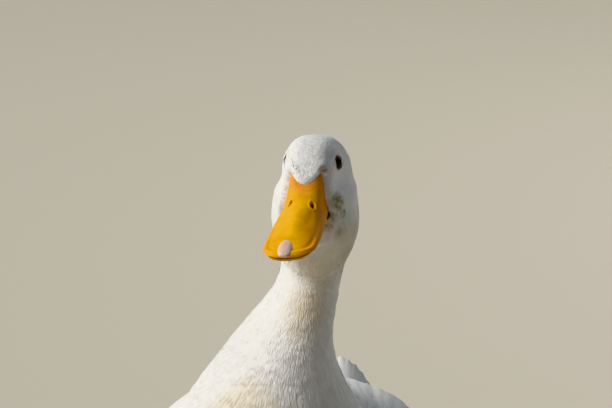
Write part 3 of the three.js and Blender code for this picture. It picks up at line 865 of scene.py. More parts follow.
def coatTree():
    sizes = ("Spacing", "Most", "Size", "Lift", "Wander", "Clump", "Patch")
    tree, given, end = newGroup(
        "coatOverSkin", "GeometryNodeTree",
        {"Geometry": "Geometry", "Tufts": "Collection", "Zone": "String", "Seed": "Int", "Finish": "Material",
         **dict.fromkeys(sizes, "Float")}, {"Geometry": "Geometry"})

    def made(kind, inputs, **settings):
        return addNode(tree, kind, inputs, **settings).outputs[0]

    def named(name, kind="FLOAT"):
        return made("GeometryNodeInputNamedAttribute", {"Name": name}, data_type=kind)

    def stored(geometry, name, value, kind="FLOAT_VECTOR", domain="POINT"):
        return made("GeometryNodeStoreNamedAttribute", {"Geometry": geometry, "Name": name, "Value": value},
                    data_type=kind, domain=domain)

    def chance(low, high, seed):
        node = addNode(tree, "FunctionNodeRandomValue", {"Seed": seed}, data_type="FLOAT")
        for socket, value in zip([socket for socket in node.inputs if socket.enabled], (low, high)):
            socket.default_value = value
        return next(socket for socket in node.outputs if socket.enabled)

    def vector(operation, inputs):
        return made("ShaderNodeVectorMath", inputs, operation=operation)

    def plus(a, b):
        return mathNode(tree, "ADD", a, b)

    def times(a, b):
        return mathNode(tree, "MULTIPLY", a, b)

    scatter = addNode(tree, "GeometryNodeDistributePointsOnFaces", {
        "Mesh": given["Geometry"], "Distance Min": given["Spacing"], "Density Max": given["Most"],
        "Density Factor": named(given["Zone"]), "Seed": given["Seed"]}, distribute_method="POISSON")
    points = stored(scatter.outputs["Points"], "rootPlace", named("skinWrap", "FLOAT_VECTOR"))
    points = stored(points, "tuftShade", chance(0.0, 1.0, 11), "FLOAT")
    points = stored(points, "skinNormal", scatter.outputs["Normal"])
    turned = made("FunctionNodeAxesToRotation", {
        "Primary Axis": scatter.outputs["Normal"], "Secondary Axis": named("lie", "FLOAT_VECTOR")},
        primary_axis="Z", secondary_axis="Y")
    # neighbours turn and rise together, in clumps a few millimetres across
    flock = addNoise(tree, made("GeometryNodeInputPosition", {}), 170.0, 2.0)
    together = times(mathNode(tree, "SUBTRACT", flock, 0.5), times(given["Clump"], 2.5))
    lift = plus(plus(times(given["Lift"], chance(0.75, 1.25, 5)), named("rise")), times(together, 0.04))
    roll = times(given["Wander"], chance(-0.12, 0.12, 7))
    wander = plus(times(given["Wander"], chance(-1.0, 1.0, 6)), together)
    angles = made("ShaderNodeCombineXYZ", {"X": lift, "Y": roll, "Z": wander})
    laid = made("FunctionNodeRotateRotation", {
        "Rotation": turned, "Rotate By": made("FunctionNodeEulerToRotation", {"Euler": angles})},
        rotation_space="LOCAL")
    size = times(times(named("featherSize"), given["Size"]), chance(0.86, 1.12, 8))
    pick = made("GeometryNodeCollectionInfo", {
        "Collection": given["Tufts"], "Separate Children": True, "Reset Children": True})
    coat = made("GeometryNodeInstanceOnPoints", {
        "Points": points, "Instance": pick, "Pick Instance": True, "Rotation": laid, "Scale": size})
    coat = made("GeometryNodeRealizeInstances", {"Geometry": coat})
    # each tuft has a small patch of the unwrap, round the place of its root
    patch = vector("SUBTRACT", {0: named("patch", "FLOAT_VECTOR"), 1: (0.5, 0.5, 0)})
    patch = vector("SCALE", {0: patch, "Scale": given["Patch"]})
    patch = vector("ADD", {0: patch, 1: named("rootPlace", "FLOAT_VECTOR")})
    coat = stored(coat, "OFBake", patch, "FLOAT2", "CORNER")
    coat = made("GeometryNodeSetMaterial", {"Geometry": coat, "Material": given["Finish"]})
    plug(tree, end["Geometry"], coat)
    return tree, {item.name: item.identifier for item in tree.interface.items_tree if item.in_out == "INPUT"}


coatPieces = {
    # tufts, where they grow, mm between them, size, degrees that they lift, wander and turn in clumps, and
    # how much of their shading comes from the skin
    "plumageFace": ("head", "faceZone", 0.88, 1.0, 1.6, 7, 24, 0.74),
    "plumageNape": ("head", "napeZone", 1.1, 1.15, 1.6, 7, 20, 0.8),
    "plumageNeck": ("neck", "neckZone", 1.5, 1.0, 1.2, 7, 34, 0.74),
    "plumageBreastLeft": ("body", "breastLeft", 3.1, 0.9, 0.5, 4, 16, 0.84),
    "plumageBreastRight": ("body", "breastRight", 3.1, 0.9, 0.5, 4, 16, 0.84),
    "plumageBodyLeft": ("body", "bodyLeft", 4.8, 1.25, 1.1, 5, 10, 0.84),
    "plumageBodyRight": ("body", "bodyRight", 4.8, 1.25, 1.1, 5, 10, 0.84),
}


def softenNormals(mesh, soft):
    # upper sides take most of their shading from the surface below, so that the coat reads as one soft
    # surface; undersides keep their own
    corners, sides = cornersOf(mesh), pulled(mesh.polygons, "loop_total", kind=np.int32)
    own = np.repeat(pulled(mesh.polygons, "normal", 3), sides, axis=0)
    under = pulled(mesh.attributes["skinNormal"].data, "vector", 3)[corners]
    facing = ramp(np.sum(own * under, axis=1), -0.05, 0.4)[:, None]
    own += (normalsOf(mesh)[corners] - own) * facing
    shadeSmooth(mesh)
    mesh.normals_split_custom_set(unit(own + (under - own) * facing * soft).tolist())


def growCoat(name, skin, tree, sockets, tufts, material, seed):
    kind, zone, spacing, size, lift, wander, clump, softness = coatPieces[name]
    base = skin.data.copy()
    piece = linked(name, base)
    modifier = piece.modifiers.new("coat", "NODES")
    modifier.node_group = tree
    values = {"Tufts": tufts[kind], "Zone": zone, "Spacing": spacing * mm, "Most": 1.6 / (spacing * mm) ** 2,
              "Size": size, "Lift": math.radians(lift), "Wander": math.radians(wander),
              "Clump": math.radians(clump), "Seed": seed, "Patch": coatSetup["patch"], "Finish": material}
    for key, value in values.items():
        modifier[sockets[key]] = value
    grown = evaluated(piece)
    piece.modifiers.clear()
    piece.data = grown
    grown.name = name
    softenNormals(grown, softness)
    bpy.data.meshes.remove(base)
    countTriangles(name, grown)
    ridden(piece, "plumage")


# Bill

billSetup = {
    # ahead, ridge height, edge height, half width, shoulder, waist and arch of each section, in mm
    "stations": np.array([
        (112, 424, 391, 13.2, 1.12, 0.62, 0.2), (119.7, 416.5, 389.6, 13.8, 1.08, 0.64, 0.22),
        (126, 405, 388, 14.5, 0.95, 0.68, 0.3), (134, 397.6, 385.8, 15.1, 0.76, 0.76, 0.42),
        (146, 392.1, 382.8, 15.8, 0.36, 0.8, 0.46), (160, 386.1, 378.9, 16.3, 0.32, 0.82, 0.48),
        (171, 381, 376.1, 16.3, 0.36, 0.86, 0.54), (178, 377.8, 374.5, 16.2, 0.5, 0.95, 0.65),
        (185, 374.6, 371.8, 16.0, 0.6, 1, 0.7),
    ]),
    "tip": 181.6, "tipLength": 14, "tipShape": 2.5,  # how the outline rounds off at the front
    # ahead, height, half width and depth of each section of the lower bill
    "lowerStations": np.array([(112, 389, 11, 8), (126, 386.2, 12.2, 7.5), (146, 381.2, 13.4, 5.6),
                               (160, 377.7, 14, 4.4), (171, 375, 13.9, 3.4), (180, 372.6, 13.8, 2.6)]),
    "lowerTip": 180.5, "lowerTipLength": 13, "lowerTipShape": 2.4,
    "root": 112,  # ahead, where both bills begin under the feathers
    "lowerStraight": 166,  # ahead, from where the rows of the lower bill draw together
    "rows": 130, "tipRows": 34, "across": 60, "under": 24,  # how many, here and in the next line
    "lowerRows": 40, "lowerTipRows": 16, "lowerRound": 41,
    "nostril": {"ahead": 136, "side": 7.3, "long": 2.6, "wide": 1.7, "deep": 1.5, "rim": 0.45,
                "turn": 20, "from": 125, "rightAhead": 134.6, "rightWide": 0.85, "rightDeep": 0.8,
                "rightRim": 0.4},
    # mm that each rises or sinks, and its middle and reach: in from the edge, then out from the ridge
    "bead": (0.42, 1.7, 0.8), "groove": (0.42, 3.4, 1.0), "saddle": (0.35, 7.4, 2.7), "ridge": (0.25, 0, 3),
    "sunk": 3.2,  # mm that the bill draws in under the feathers
    "bend": {"side": 1.2, "roll": 0.06, "yaw": 0.07},  # the tip turns a little to the bird's right and rolls
}


def sectionAt(table, ahead):
    # the table's smooth section there; its first column runs forwards or backwards
    way = np.sign(table[1, 0] - table[0, 0])
    return splined(table, np.interp(ahead * way, table[:, 0] * way, np.arange(len(table))))


def gridNormals(grid):
    return unit(np.cross(np.gradient(grid, axis=1), np.gradient(grid, axis=0)))


def billRow(ahead):
    s = billSetup
    shape = s["tipShape"]
    _, top, edge, half, shoulder, waist, arch = sectionAt(s["stations"], ahead)
    blunt = np.clip((ahead - (s["tip"] - s["tipLength"])) / s["tipLength"], 0, 1)
    close = (1 - blunt**shape) ** (1 / shape)
    way = np.linspace(-1, 1, 2 * s["across"] + 1)
    v = np.abs(way)
    # a curve with four handles from the ridge to the edge
    inner = 3 * (1 - v) ** 2 * v
    x = half * (inner * shoulder + 3 * (1 - v) * v * v * waist + v**3) * close
    z = top * ((1 - v) ** 3 + inner) + (edge + (top - edge) * arch) * 3 * (1 - v) * v * v + edge * v**3
    middle, flat = edge + (top - edge) * 0.2, 0.3 + 0.7 * close
    upper = np.stack([headSide + np.sign(way) * x, np.full_like(x, ahead), (z - middle) * flat + middle], 1)
    t = np.linspace(1, -1, s["under"] + 2)
    roof = edge - 0.8 * close + 1.7 * close * (1 - t**2) ** 0.6
    width = half * close * (0.98 - 0.05 * close)
    roof = (roof - middle) * flat + middle - 0.35
    under = np.stack([headSide + t * width, np.full_like(t, ahead), roof], 1)
    # how far each point is from the bill's outline, at the side and at the tip
    rim = half * close - x
    front = (1 - np.clip(1 - np.clip(x / half, 0, 1) ** shape, 0, 1) ** (1 / shape)) * s["tipLength"]
    front = np.maximum(s["tip"] - front - ahead, 0)
    return upper, under, rim * front / (np.sqrt(rim**2 + front**2) + 1e-6)


def bendBill(ring):
    bend, share = billSetup["bend"], ramp(ring[..., 1], 140, 182)
    lateral = ring[..., 0] - headSide
    moved = [-bend["side"] * share, -bend["yaw"] * lateral * share, bend["roll"] * lateral * share]
    return ring + np.stack(moved, -1)


def nostrilPlace(side, ahead, up):
    # 0 in the middle of the opening, 1 at its edge
    n = billSetup["nostril"]
    turn, onLeft = math.radians(n["turn"]), side > headSide
    holeUp = np.interp(n["ahead"], [134, 146], [397.6, 391.4])
    da = ahead - np.where(onLeft, n["ahead"], n["rightAhead"])
    run, ds = np.hypot(da, (up - holeUp) * 0.9) * np.sign(da), np.abs(side - headSide) - n["side"]
    along = (run * math.cos(turn) + ds * math.sin(turn)) / n["long"]
    across = (-run * math.sin(turn) + ds * math.cos(turn)) / np.where(onLeft, n["wide"], n["rightWide"])
    return np.sqrt(along**2 + across**2), onLeft


def swell(place, most, middle, reach):
    return most * bump(place, middle, reach)


def makeUpperBill(material):
    s, n = billSetup, billSetup["nostril"]
    straight = s["tip"] - s["tipLength"]
    rounding = straight + s["tipLength"] * (1 - (1 - np.linspace(0, 1, s["tipRows"])[1:-1]) ** 2.3)
    aheads = np.concatenate([np.linspace(s["root"], straight, s["rows"]), rounding, [s["tip"] - 0.003]])
    upper, under, fromEdge = (np.stack(part) for part in zip(*map(billRow, aheads)))
    side, ahead, up = upper[..., 0], upper[..., 1], upper[..., 2]
    lateral = np.abs(side - headSide)
    covered = aheadOfFeathers(side, ahead, up)
    # the bead and the groove along the edge, weaker beside the nail
    shift = swell(fromEdge, *s["bead"]) - swell(fromEdge, *s["groove"])
    shift *= (0.25 + 0.75 * ramp(ahead, 156, 170)) * (1 - bump(side - headSide, nailSetup["side"], 6))
    shift *= ramp(ahead, 118, 128)
    # the saddle behind the nostrils, the ridge and the wrinkles at the feathers
    shift -= swell(lateral, *s["saddle"]) * ramp(ahead, 126, 136) * (1 - ramp(ahead, 146, 162))
    shift += swell(lateral, *s["ridge"]) * ramp(ahead, 130, 140) * (1 - ramp(ahead, 160, 172))
    wrinkle = np.sin(covered * 2.4 + 0.7 * np.sin(lateral * 1.3)) * 0.12 * bump(covered, 2.4, 2.2)
    shift += wrinkle * (1 - ramp(lateral, 8, 11))
    hole, onLeft = nostrilPlace(side, ahead, up)
    inside = (1 - ramp(hole, 0.72, 1.12)) * np.where(onLeft, 1, n["rightDeep"]) * (ahead > n["from"])
    shift += swell(hole, n["rim"], 1.45, 0.34) * (ahead > n["from"]) * np.where(onLeft, 1, n["rightRim"])
    shift -= n["deep"] * inside
    shift -= s["sunk"] * (1 - ramp(covered, -1.4, 0.5))
    grid = upper + gridNormals(upper) * shift[..., None]
    ring = bendBill(np.concatenate([grid, under[:, 1:-1]], axis=1))
    rows, columns = ring.shape[:2]
    piece = closeMesh(
        "upperBill", placed(ring), tubeFaces(rows, columns), material, "bill_skin", "upper_bill")
    # each mask's values on the upper side, and its value below
    masks = {"nostril": (inside, 0), "baseSkin": (1 - ramp(covered, 1, 9), 0),
             "rimSkin": (bump(fromEdge, 0.4, 1.3), 1)}
    for name, (values, below) in masks.items():
        pad = ((0, 0), (0, columns - upper.shape[1]))
        setValues(piece.data, name, np.pad(values, pad, constant_values=below))
    return piece


def makeLowerBill(material):
    s, rows = billSetup, []
    tip, length, shape = s["lowerTip"], s["lowerTipLength"], s["lowerTipShape"]
    straight = s["lowerStraight"]
    rounding = straight + (tip - straight) * (1 - (1 - np.linspace(0, 1, s["lowerTipRows"])[1:]) ** 2.2)
    angles = np.linspace(0, 2 * math.pi, s["lowerRound"])[:-1]
    drop = np.clip(-np.cos(angles), 0, 1)
    for ahead in np.concatenate([np.linspace(s["root"], straight, s["lowerRows"]), rounding]):
        _, up, half, deep = sectionAt(s["lowerStations"], ahead)
        blunt = min(1, max(0, (ahead - (tip - length)) / length))
        close = (1 - blunt**shape) ** (1 / shape) if blunt < 1 else 0.004
        x = np.sign(np.sin(angles)) * np.abs(np.sin(angles)) ** 0.8 * half * close
        keel = 0.5 * bump(np.abs(x), half * 0.62, 1.2) * (ahead > 124)
        z = up - deep * drop * (0.25 + 0.75 * close) - np.where(drop > 0, keel * close, 0) - 0.4
        rows.append(np.stack([headSide + x, np.full_like(x, ahead), z], 1))
    ring = bendBill(np.stack(rows))
    piece = closeMesh(
        "lowerBill", placed(ring), tubeFaces(*ring.shape[:2]), material, "bill_skin", "lower_bill")
    for name, value in (("nostril", 0), ("baseSkin", 0.35), ("rimSkin", 0)):
        setValues(piece.data, name, np.full(len(piece.data.vertices), value))
    return piece


nailSetup = {"side": -2.3, "ahead": 175.2, "up": 377.5, "half": 4.7, "long": 8.2, "deep": 2.3, "pitch": 21.5,
             "hook": 0.014}


def makeNail(material):
    s = nailSetup
    phi = np.linspace(0, math.pi, 33)[1:-1, None]  # along the nail from its root to its hook
    theta = np.linspace(0, 2 * math.pi, 49)[None, :-1]
    a = -np.cos(phi) * np.ones_like(theta)
    r = np.sin(phi) ** 0.66
    x = s["half"] * r * (1 + 0.12 * a) * np.sign(np.sin(theta)) * np.abs(np.sin(theta)) ** 0.85
    y = s["long"] * a
    z = s["deep"] * r * np.cos(theta) - s["hook"] * np.clip(y - 1.0, 0, 99) ** 2
    tilt = math.radians(s["pitch"])
    ahead = s["ahead"] + y * math.cos(tilt) + z * math.sin(tilt)
    up = s["up"] - y * math.sin(tilt) + z * math.cos(tilt)
    points, faces = budMesh(np.stack([headSide + s["side"] + x, ahead, up], 2))
    closeMesh("billNail", points, faces, material, "nail_horn", "bill_nail")


# Eyes and lids

eyeSetup = {
    "radius": 7.0,
    "rightIn": 0.9,  # mm that the right eye sits further in
    "opening": (3.9, 3.75),  # half the opening along the head and up
    "lidWide": 1.5, "lidHigh": 0.5,
    "rings": 36, "around": 48, "lidAround": 72,
}


def eyeFrame(way):
    look = Vector((gaze.x * way, -gaze.y, gaze.z)).normalized()
    upward = (Vector((0, 0, 1)) - look * look.z).normalized()
    forward = look.cross(upward) * way
    inwards = eyeSetup["rightIn"] if way < 0 else 0
    centre = Vector((headX + way * (eyeSide - inwards) * mm, aheadZero - eyeAhead * mm, eyeUp * mm))
    return centre, look, forward, upward


def makeEye(way, word, material):
    centre, look, forward, upward = eyeFrame(way)
    radius, rings, around = eyeSetup["radius"] * mm, eyeSetup["rings"], eyeSetup["around"]
    vertices, off = [centre + look * radius * 1.012], [0.0]
    for ring in range(1, rings):
        angle = math.pi * ring / rings * 0.62
        cornea = 1 + 0.012 * math.exp(-((angle / 0.42) ** 2))
        for k in range(around):
            turn = 2 * math.pi * k / around
            outward = (forward * math.cos(turn) + upward * math.sin(turn)) * math.sin(angle)
            vertices.append(centre + (look * math.cos(angle) + outward) * radius * cornea)
            off.append(math.sin(angle) * eyeSetup["radius"])
    last = 1 + (rings - 2) * around
    faces = [(0, 1 + k, 1 + (k + 1) % around) for k in range(around)]
    faces += gridFaces(rings - 1, around, wrap=True, start=1) + [tuple(range(last, last + around))[::-1]]
    piece = closeMesh(f"eyeball{word}", vertices, faces, material, "eye_dark", f"eye_{word.lower()}")
    setValues(piece.data, "fromPupil", off)


def makeLid(way, word, material):
    centre, look, forward, upward = eyeFrame(way)
    s = eyeSetup
    (across, high), wide, thick, around = s["opening"], s["lidWide"], s["lidHigh"], s["lidAround"]
    # each profile point: how far out from the opening, and how high over the eyeball, in mm
    profile = [(-0.15, -0.25), (-0.1, 0.12), (0.12, 0.36), (0.42, thick), (0.75, thick * 0.9), (1.05, 0.24),
               (wide, -0.25), (wide + 0.5, -0.9), (0.8, -0.9)]
    vertices, edge = [], []
    for k in range(around):
        turn = 2 * math.pi * k / around
        c, upper = math.cos(turn), math.sin(turn)
        for out, lift in profile:
            ridge = 0.05 * math.sin(turn * 23) * (1 if 0.2 < out < 1.4 else 0)
            x = c * (across + 0.55 * abs(c) ** 7 + out * (1 + 0.25 * abs(c)))
            y = upper * (high * (1.0 if upper > 0 else 0.96) + out)
            deep = math.sqrt(s["radius"] ** 2 - min(math.hypot(x, y), s["radius"] * 0.985) ** 2)
            vertices.append(centre + (forward * x + upward * y + look * (deep + lift + ridge)) * mm)
            edge.append(min(1, max(0, out / wide)))
    # the last ring joins the first
    faces = gridFaces(around + 1, len(profile), wrap=True)
    faces = [tuple(corner % len(vertices) for corner in face) for face in faces]
    piece = closeMesh(f"eyelid{word}", vertices, faces, material, "leg_skin")
    setValues(piece.data, "fromEdge", edge)


# The fleshy corner of the mouth, where the two bills meet under the cheek

gapeSetup = {"side": 12.4, "ahead": 117.8, "up": 385.6, "radii": (2.1, 2.5, 2.8), "fold": 0.12}


def makeGape(way, word, material):
    s = gapeSetup
    phi = np.linspace(0, math.pi, 25)[1:-1, None]
    theta = np.linspace(0, 2 * math.pi, 33)[None, :-1]
    swell = 1 + s["fold"] * np.sin(phi * 5) * np.cos(theta * 2)
    x = np.sin(phi) * np.cos(theta) * swell * s["radii"][0]
    y = np.sin(phi) * np.sin(theta) * swell * s["radii"][1]
    z = np.cos(phi) * np.ones_like(theta) * s["radii"][2]
    ring = np.stack([headSide + way * (s["side"] + x), s["ahead"] + y + 0.25 * z, s["up"] + z], 2)
    closeMesh(f"mouthCorner{word}", *budMesh(ring), material, "bill_skin")


# Finishes of the bare parts

def gapeMaterial():
    material, tree, shader = newMaterial("mouthCornerSkin", 0.4, **{"Specular IOR Level": 0.3})
    fine = addGrain(tree, shader, objectPlace(tree), 900.0, 4.0, 0.3, 0.25, 0.5, 0.4)
    colour = addRamp(tree, fine, (0.3, (0.035, 0.010, 0.008)), (0.5, (0.075, 0.018, 0.012)),
                     (0.75, (0.16, 0.05, 0.02)))
    return painted(material, colour)


billTint = {
    "paintedShade": (0.68, 0.22, 0.002),  # painted shade: deeper orange towards the bird's left, the side turned away from the key light
    "base": (0.80, 0.30, 0.07),
    "rim": (0.80, 0.36, 0.02),
    "flecks": (0.78, 0.42, 0.12),
    "nostril": (0.22, 0.022, 0.008),
    "corner": (0.10, 0.018, 0.012),
    # the dark corners of the mouth: how far aside, and their reach in mm
    "corners": [(14.5, 4.8), (-14.5, 4.0)],
}


def billMaterial():
    material, tree, shader = newMaterial("billSkin", 0.42, **{
        "Subsurface Weight": 0.06, "Subsurface Scale": 0.0012, "Subsurface Radius": (1.0, 0.45, 0.1),
        "Specular IOR Level": 0.08})
    place, tint = objectPlace(tree), billTint
    fine = addGrain(tree, shader, place, 900.0, 4.0, 0.36, 0.18)
    broad = addNoise(tree, place, 120.0, 5.0)
    colour = addRamp(tree, broad, (0.28, (0.70, 0.32, 0.006)), (0.5, (0.80, 0.405, 0.009)),
                     (0.72, (0.86, 0.485, 0.02)))
    flesh = mathNode(tree, "MULTIPLY", fine, 1.5)
    base = mathNode(tree, "MULTIPLY", addMask(tree, "baseSkin"), flesh, clamp=True)
    colour = mixColour(tree, base, colour, tint["base"])
    # painted shade: the bill grows deeper orange towards the bird's left, its side away from the key light
    across = addNode(tree, "ShaderNodeSeparateXYZ", {"Vector": place}).outputs["X"]
    beyond = mathNode(tree, "SUBTRACT", across, (headSide + 2) * mm)
    paintedShade = mathNode(tree, "DIVIDE", beyond, 10 * mm, clamp=True)
    colour = tinted(tree, colour, tint["paintedShade"], paintedShade, 0.7)
    colour = tinted(tree, colour, tint["rim"], addMask(tree, "rimSkin"), 0.55)
    veins = addNoise(tree, place, 260.0, 6.0, Roughness=0.7)
    flecks = addRamp(tree, veins, (0.62, (0, 0, 0)), (0.72, (1, 1, 1)))
    colour = tinted(tree, colour, tint["flecks"], flecks, 0.25)
    colour = mixColour(tree, addMask(tree, "nostril"), colour, tint["nostril"])
    for aside, reach in tint["corners"]:
        near = nearness(tree, place, (headSide + aside, 118.5, 387), reach, clamp=True)
        colour = mixColour(tree, mathNode(tree, "MULTIPLY", near, 1.6, clamp=True), colour, tint["corner"])
    plug(tree, shader.inputs["Base Color"], colour)
    pores = addNode(tree, "ShaderNodeTexVoronoi", {"Vector": place, "Scale": 1500.0}).outputs["Distance"]
    height = mathNode(tree, "MULTIPLY", broad, 2.2)
    height = mathNode(tree, "MULTIPLY_ADD", pores, 0.35, height)
    plug(tree, shader.inputs["Normal"], raised(tree, height, 0.35, 0.5 * mm))
    return material


def nailMaterial():
    # its grain is drawn out along the bill
    material, tree, shader = newMaterial("nailHorn", 0.38, **{
        "Subsurface Weight": 0.15, "Subsurface Scale": 0.001})
    place = objectPlace(tree)
    drawnOut = addNode(tree, "ShaderNodeMapping", {"Vector": place, "Scale": (1.0, 0.12, 0.3)})
    grain = addGrain(tree, shader, drawnOut.outputs["Vector"], 1600.0, 4.0, 0.38, 0.2, 0.3, 0.3)
    colour = addRamp(tree, addNoise(tree, place, 300.0, 3.0), (0.3, (0.70, 0.48, 0.37)),
                     (0.55, (0.82, 0.60, 0.48)), (0.75, (0.88, 0.69, 0.57)))
    return painted(material, tinted(tree, colour, (0.50, 0.27, 0.19), grain, 0.3))


def eyeMaterial():
    material, tree, shader = newMaterial("eyeGloss", 0.25, **{
        "Coat Weight": 0.3, "Coat Roughness": 0.04, "Coat IOR": 1.25, "Specular IOR Level": 0.05})
    fibre = addGrain(tree, shader, objectPlace(tree), 1800.0, 4.0, 0.15, 0.2)
    pupil = mathNode(tree, "DIVIDE", addMask(tree, "fromPupil"), 4.6)
    colour = addRamp(tree, pupil, (0.44, (0.002, 0.002, 0.002)), (0.5, (0.020, 0.010, 0.006)),
                     (0.8, (0.034, 0.015, 0.008)), (0.9, (0.006, 0.003, 0.002)))
    return painted(material, tinted(tree, colour, (0.004, 0.003, 0.003), fibre, 0.5))


def lidMaterial():
    material, tree, shader = newMaterial("lidSkin", 0.45, **{
        "Subsurface Weight": 0.1, "Subsurface Scale": 0.0008})
    fine = addGrain(tree, shader, objectPlace(tree), 2200.0, 3.0, 0.32, 0.2, 0.4, 0.3)
    colour = addRamp(tree, addMask(tree, "fromEdge"), (0.05, (0.07, 0.035, 0.025)),
                     (0.45, (0.24, 0.15, 0.10)), (0.95, (0.52, 0.43, 0.34)))
    return painted(material, tinted(tree, colour, (0.30, 0.20, 0.13), fine, 0.35))


# Wings and tail: long feathers laid over one another, each a thin closed vane with its shaft

vaneShapes = {
    # how squarely the vane ends, the front half's share of its width, thickness in mm, rows of points, mm
    # that one edge lies lower than the shaft, and how much the lengths vary
    "covert": (2.8, 0.5, 0.3, 10, 0.5, 0.06),
    "undertail": (2.4, 0.5, 0.25, 9, 0.4, 0.1),
    "scapular": (2.4, 0.5, 0.3, 12, 0.6, 0.1),
    "secondary": (4.0, 0.42, 0.35, 14, 1.1, 0.03),
    "tertial": (2.4, 0.46, 0.35, 16, 1.0, 0.08),
    "primary": (2.2, 0.3, 0.4, 18, 1.3, 0.02),
    "tail": (6, 0.47, 0.4, 18, 0.5, 0.006),
    "columns": 7,  # points across every vane
    "softness": 0.38,  # how much of its shading comes from the surface that it lies on
}


def bothSides(values, under=1):
    # the same values on the vane's upper side and, turned round, on its underside
    return np.concatenate([values, under * values[:, ::-1]], axis=1)


def layVane(store, shape, length, width, laid, chance):
    # laid(along, across, high) gives the place in mm; the vane is a closed plate, cupped towards its edges
    power, front, thick, rows, _, _ = vaneShapes[shape]
    columns = vaneShapes["columns"]
    t = np.linspace(0, 1, rows)[:, None]
    t = 0.3 * t + 0.7 * np.sin(t * math.pi / 2)
    half = width / 2 * np.clip(0.3 + 3.2 * t, 0, 1) * np.clip(1 - t**power, 0, 1) ** 0.5
    half[-1] = width * 0.02
    lanes = np.linspace(-1, 1, columns)[None, :]
    frayed = chance.uniform(-0.035, 0.035, (rows, 2))
    across = lanes * half
    across = across * np.where(across > 0, 2 * front, 2 * (1 - front))
    across[:, 0] *= 1 + frayed[:, 0]
    across[:, -1] *= 1 + frayed[:, 1]
    flat = np.zeros_like(across)
    along = t * length + flat
    cup = -0.035 * width * np.abs(lanes) ** 2 + flat
    top = laid(along, across, cup + 0.45 * (1 - t) * np.exp(-((lanes / 0.12) ** 2)))
    low = laid(along, across, cup - thick * (1 - 0.55 * t))
    # the surface it lies on, from which it takes part of its shading
    under = laid(along, across, flat)
    outward = np.cross(laid(along + 0.5, across, flat) - under, laid(along, across + 0.5, flat) - under)
    outward *= np.sign(np.sum(outward * (laid(along, across, flat + 1) - under), axis=-1, keepdims=True))
    outward = unit(outward) * (1, -1, 1)  # ahead is -y
    first = sum(len(block) for block in store["points"])
    store["faces"] += tubeFaces(rows, columns * 2, first)
    both, alongBoth = bothSides(across), bothSides(along)
    store["points"].append(np.concatenate([top, low[:, ::-1]], axis=1).reshape(-1, 3))
    store["skinNormal"].append(bothSides(outward, -1).reshape(-1, 3))
    store["barb"].append(alongBoth.ravel())
    store["offShaft"].append(both.ravel())
    # nearness to the vane's edge or tip, for the painted shade there
    store["vaneEdgeShade"].append(bothSides(np.maximum(np.abs(lanes) ** 7, t**9)).ravel())
    store["tuftShade"].append(np.full(both.size, chance.uniform(0, 1)))
    store["root"].append(np.repeat(top[0, columns // 2][None, :], both.size, axis=0))
    patch = np.stack([0.5 + both / width * 0.9, alongBoth / length], 2).reshape(-1, 2)
    store["patch"].append(np.clip(patch, 0, 1))


def newStore():
    values = ("points", "skinNormal", "barb", "offShaft", "vaneEdgeShade", "tuftShade", "root", "patch")
    return {key: [] for key in ("faces", *values)}


def finishVanes(name, store, material, *nodes):
    faces = store.pop("faces")
    joined = {key: np.concatenate(blocks) for key, blocks in store.items()}
    piece = closeMesh(name, placed(joined["points"]), faces, material, "plumage", *nodes)
    mesh = piece.data
    setValues(mesh, "skinNormal", joined["skinNormal"], "FLOAT_VECTOR")
    softenNormals(mesh, vaneShapes["softness"])
    for key in ("barb", "offShaft", "vaneEdgeShade", "tuftShade"):
        setValues(mesh, key, joined[key])
    place = wrapUV(*unwrapped(*joined["root"].T)) + (joined["patch"] - 0.5) * coatSetup["patch"]
    layer = mesh.uv_layers.new(name="OFBake")
    layer.uv.foreach_set("vector", place[cornersOf(mesh)].astype(np.float32).ravel())
    countTriangles(name, mesh)


def wingPlace(way, ahead, share, out):
    # ahead, share of the way across the wing and mm out from it, to side, ahead and up
    ring = sectionAt(wingSetup["rings"], ahead)
    centre, wide, high, start, end, thick = (ring[..., k] for k in range(1, 7))
    angle = np.radians(start + (end - start) * share)
    swell = thick * 0.55 * np.sin(np.pi * np.clip(share, 0.03, 0.97)) ** 0.6
    beyondTip = np.minimum(ahead - wingSetup["rings"][-1, 0], 0)
    return np.stack([way * (wide + out + swell) * np.sin(angle), ahead,
                     centre + (high + out + swell) * np.cos(angle) - beyondTip * 0.4], -1)


def mmAcross(ahead):
    wide, high, start, end = wingAt(ahead, 2, 3, 4, 5)
    return (end - start) * (wide + high) / 2 * math.pi / 180


def makeWing(way, word, material):
    store, chance = newStore(), np.random.default_rng(40 + way)
    for tip, count, across, roots, lengths, width, height in wingSetup["rows"]:
        *_, lean, vary = vaneShapes[tip]
        press = wingSetup["press"].get(tip, 0)
        for index in range(count):
            # the lower feathers go on first, so that each upper one lies over the one below it
            part = 1 - index / (count - 1)
            share, root, length = (low + (high - low) * part for low, high in (across, roots, lengths))
            root = root + chance.uniform(-1.5, 1.5)
            length = length * chance.uniform(1 - vary, 1 + vary)
            slant = chance.uniform(-0.02, 0.02)

            def laid(along, across, high):
                t, ahead = along / length, root - along
                here = share + slant * t + across / mmAcross(np.maximum(ahead, -160))
                # towards the wing's rim the feathers hug the body
                hug = (0.12 + 0.88 * ramp(here, -0.25, 0.2)) * (1 - 0.8 * ramp(here, 0.62, 1.0))
                hug = hug * (1 - 0.7 * ramp(ahead, 68, 92))
                lift = (height + 0.8 * t) * hug - press * t**3 - lean * across / width + high
                return wingPlace(way, ahead, here, lift)

            layVane(store, tip, length, width * chance.uniform(0.95, 1.05), laid, chance)
    finishVanes(f"wingFeathers{word}", store, material)


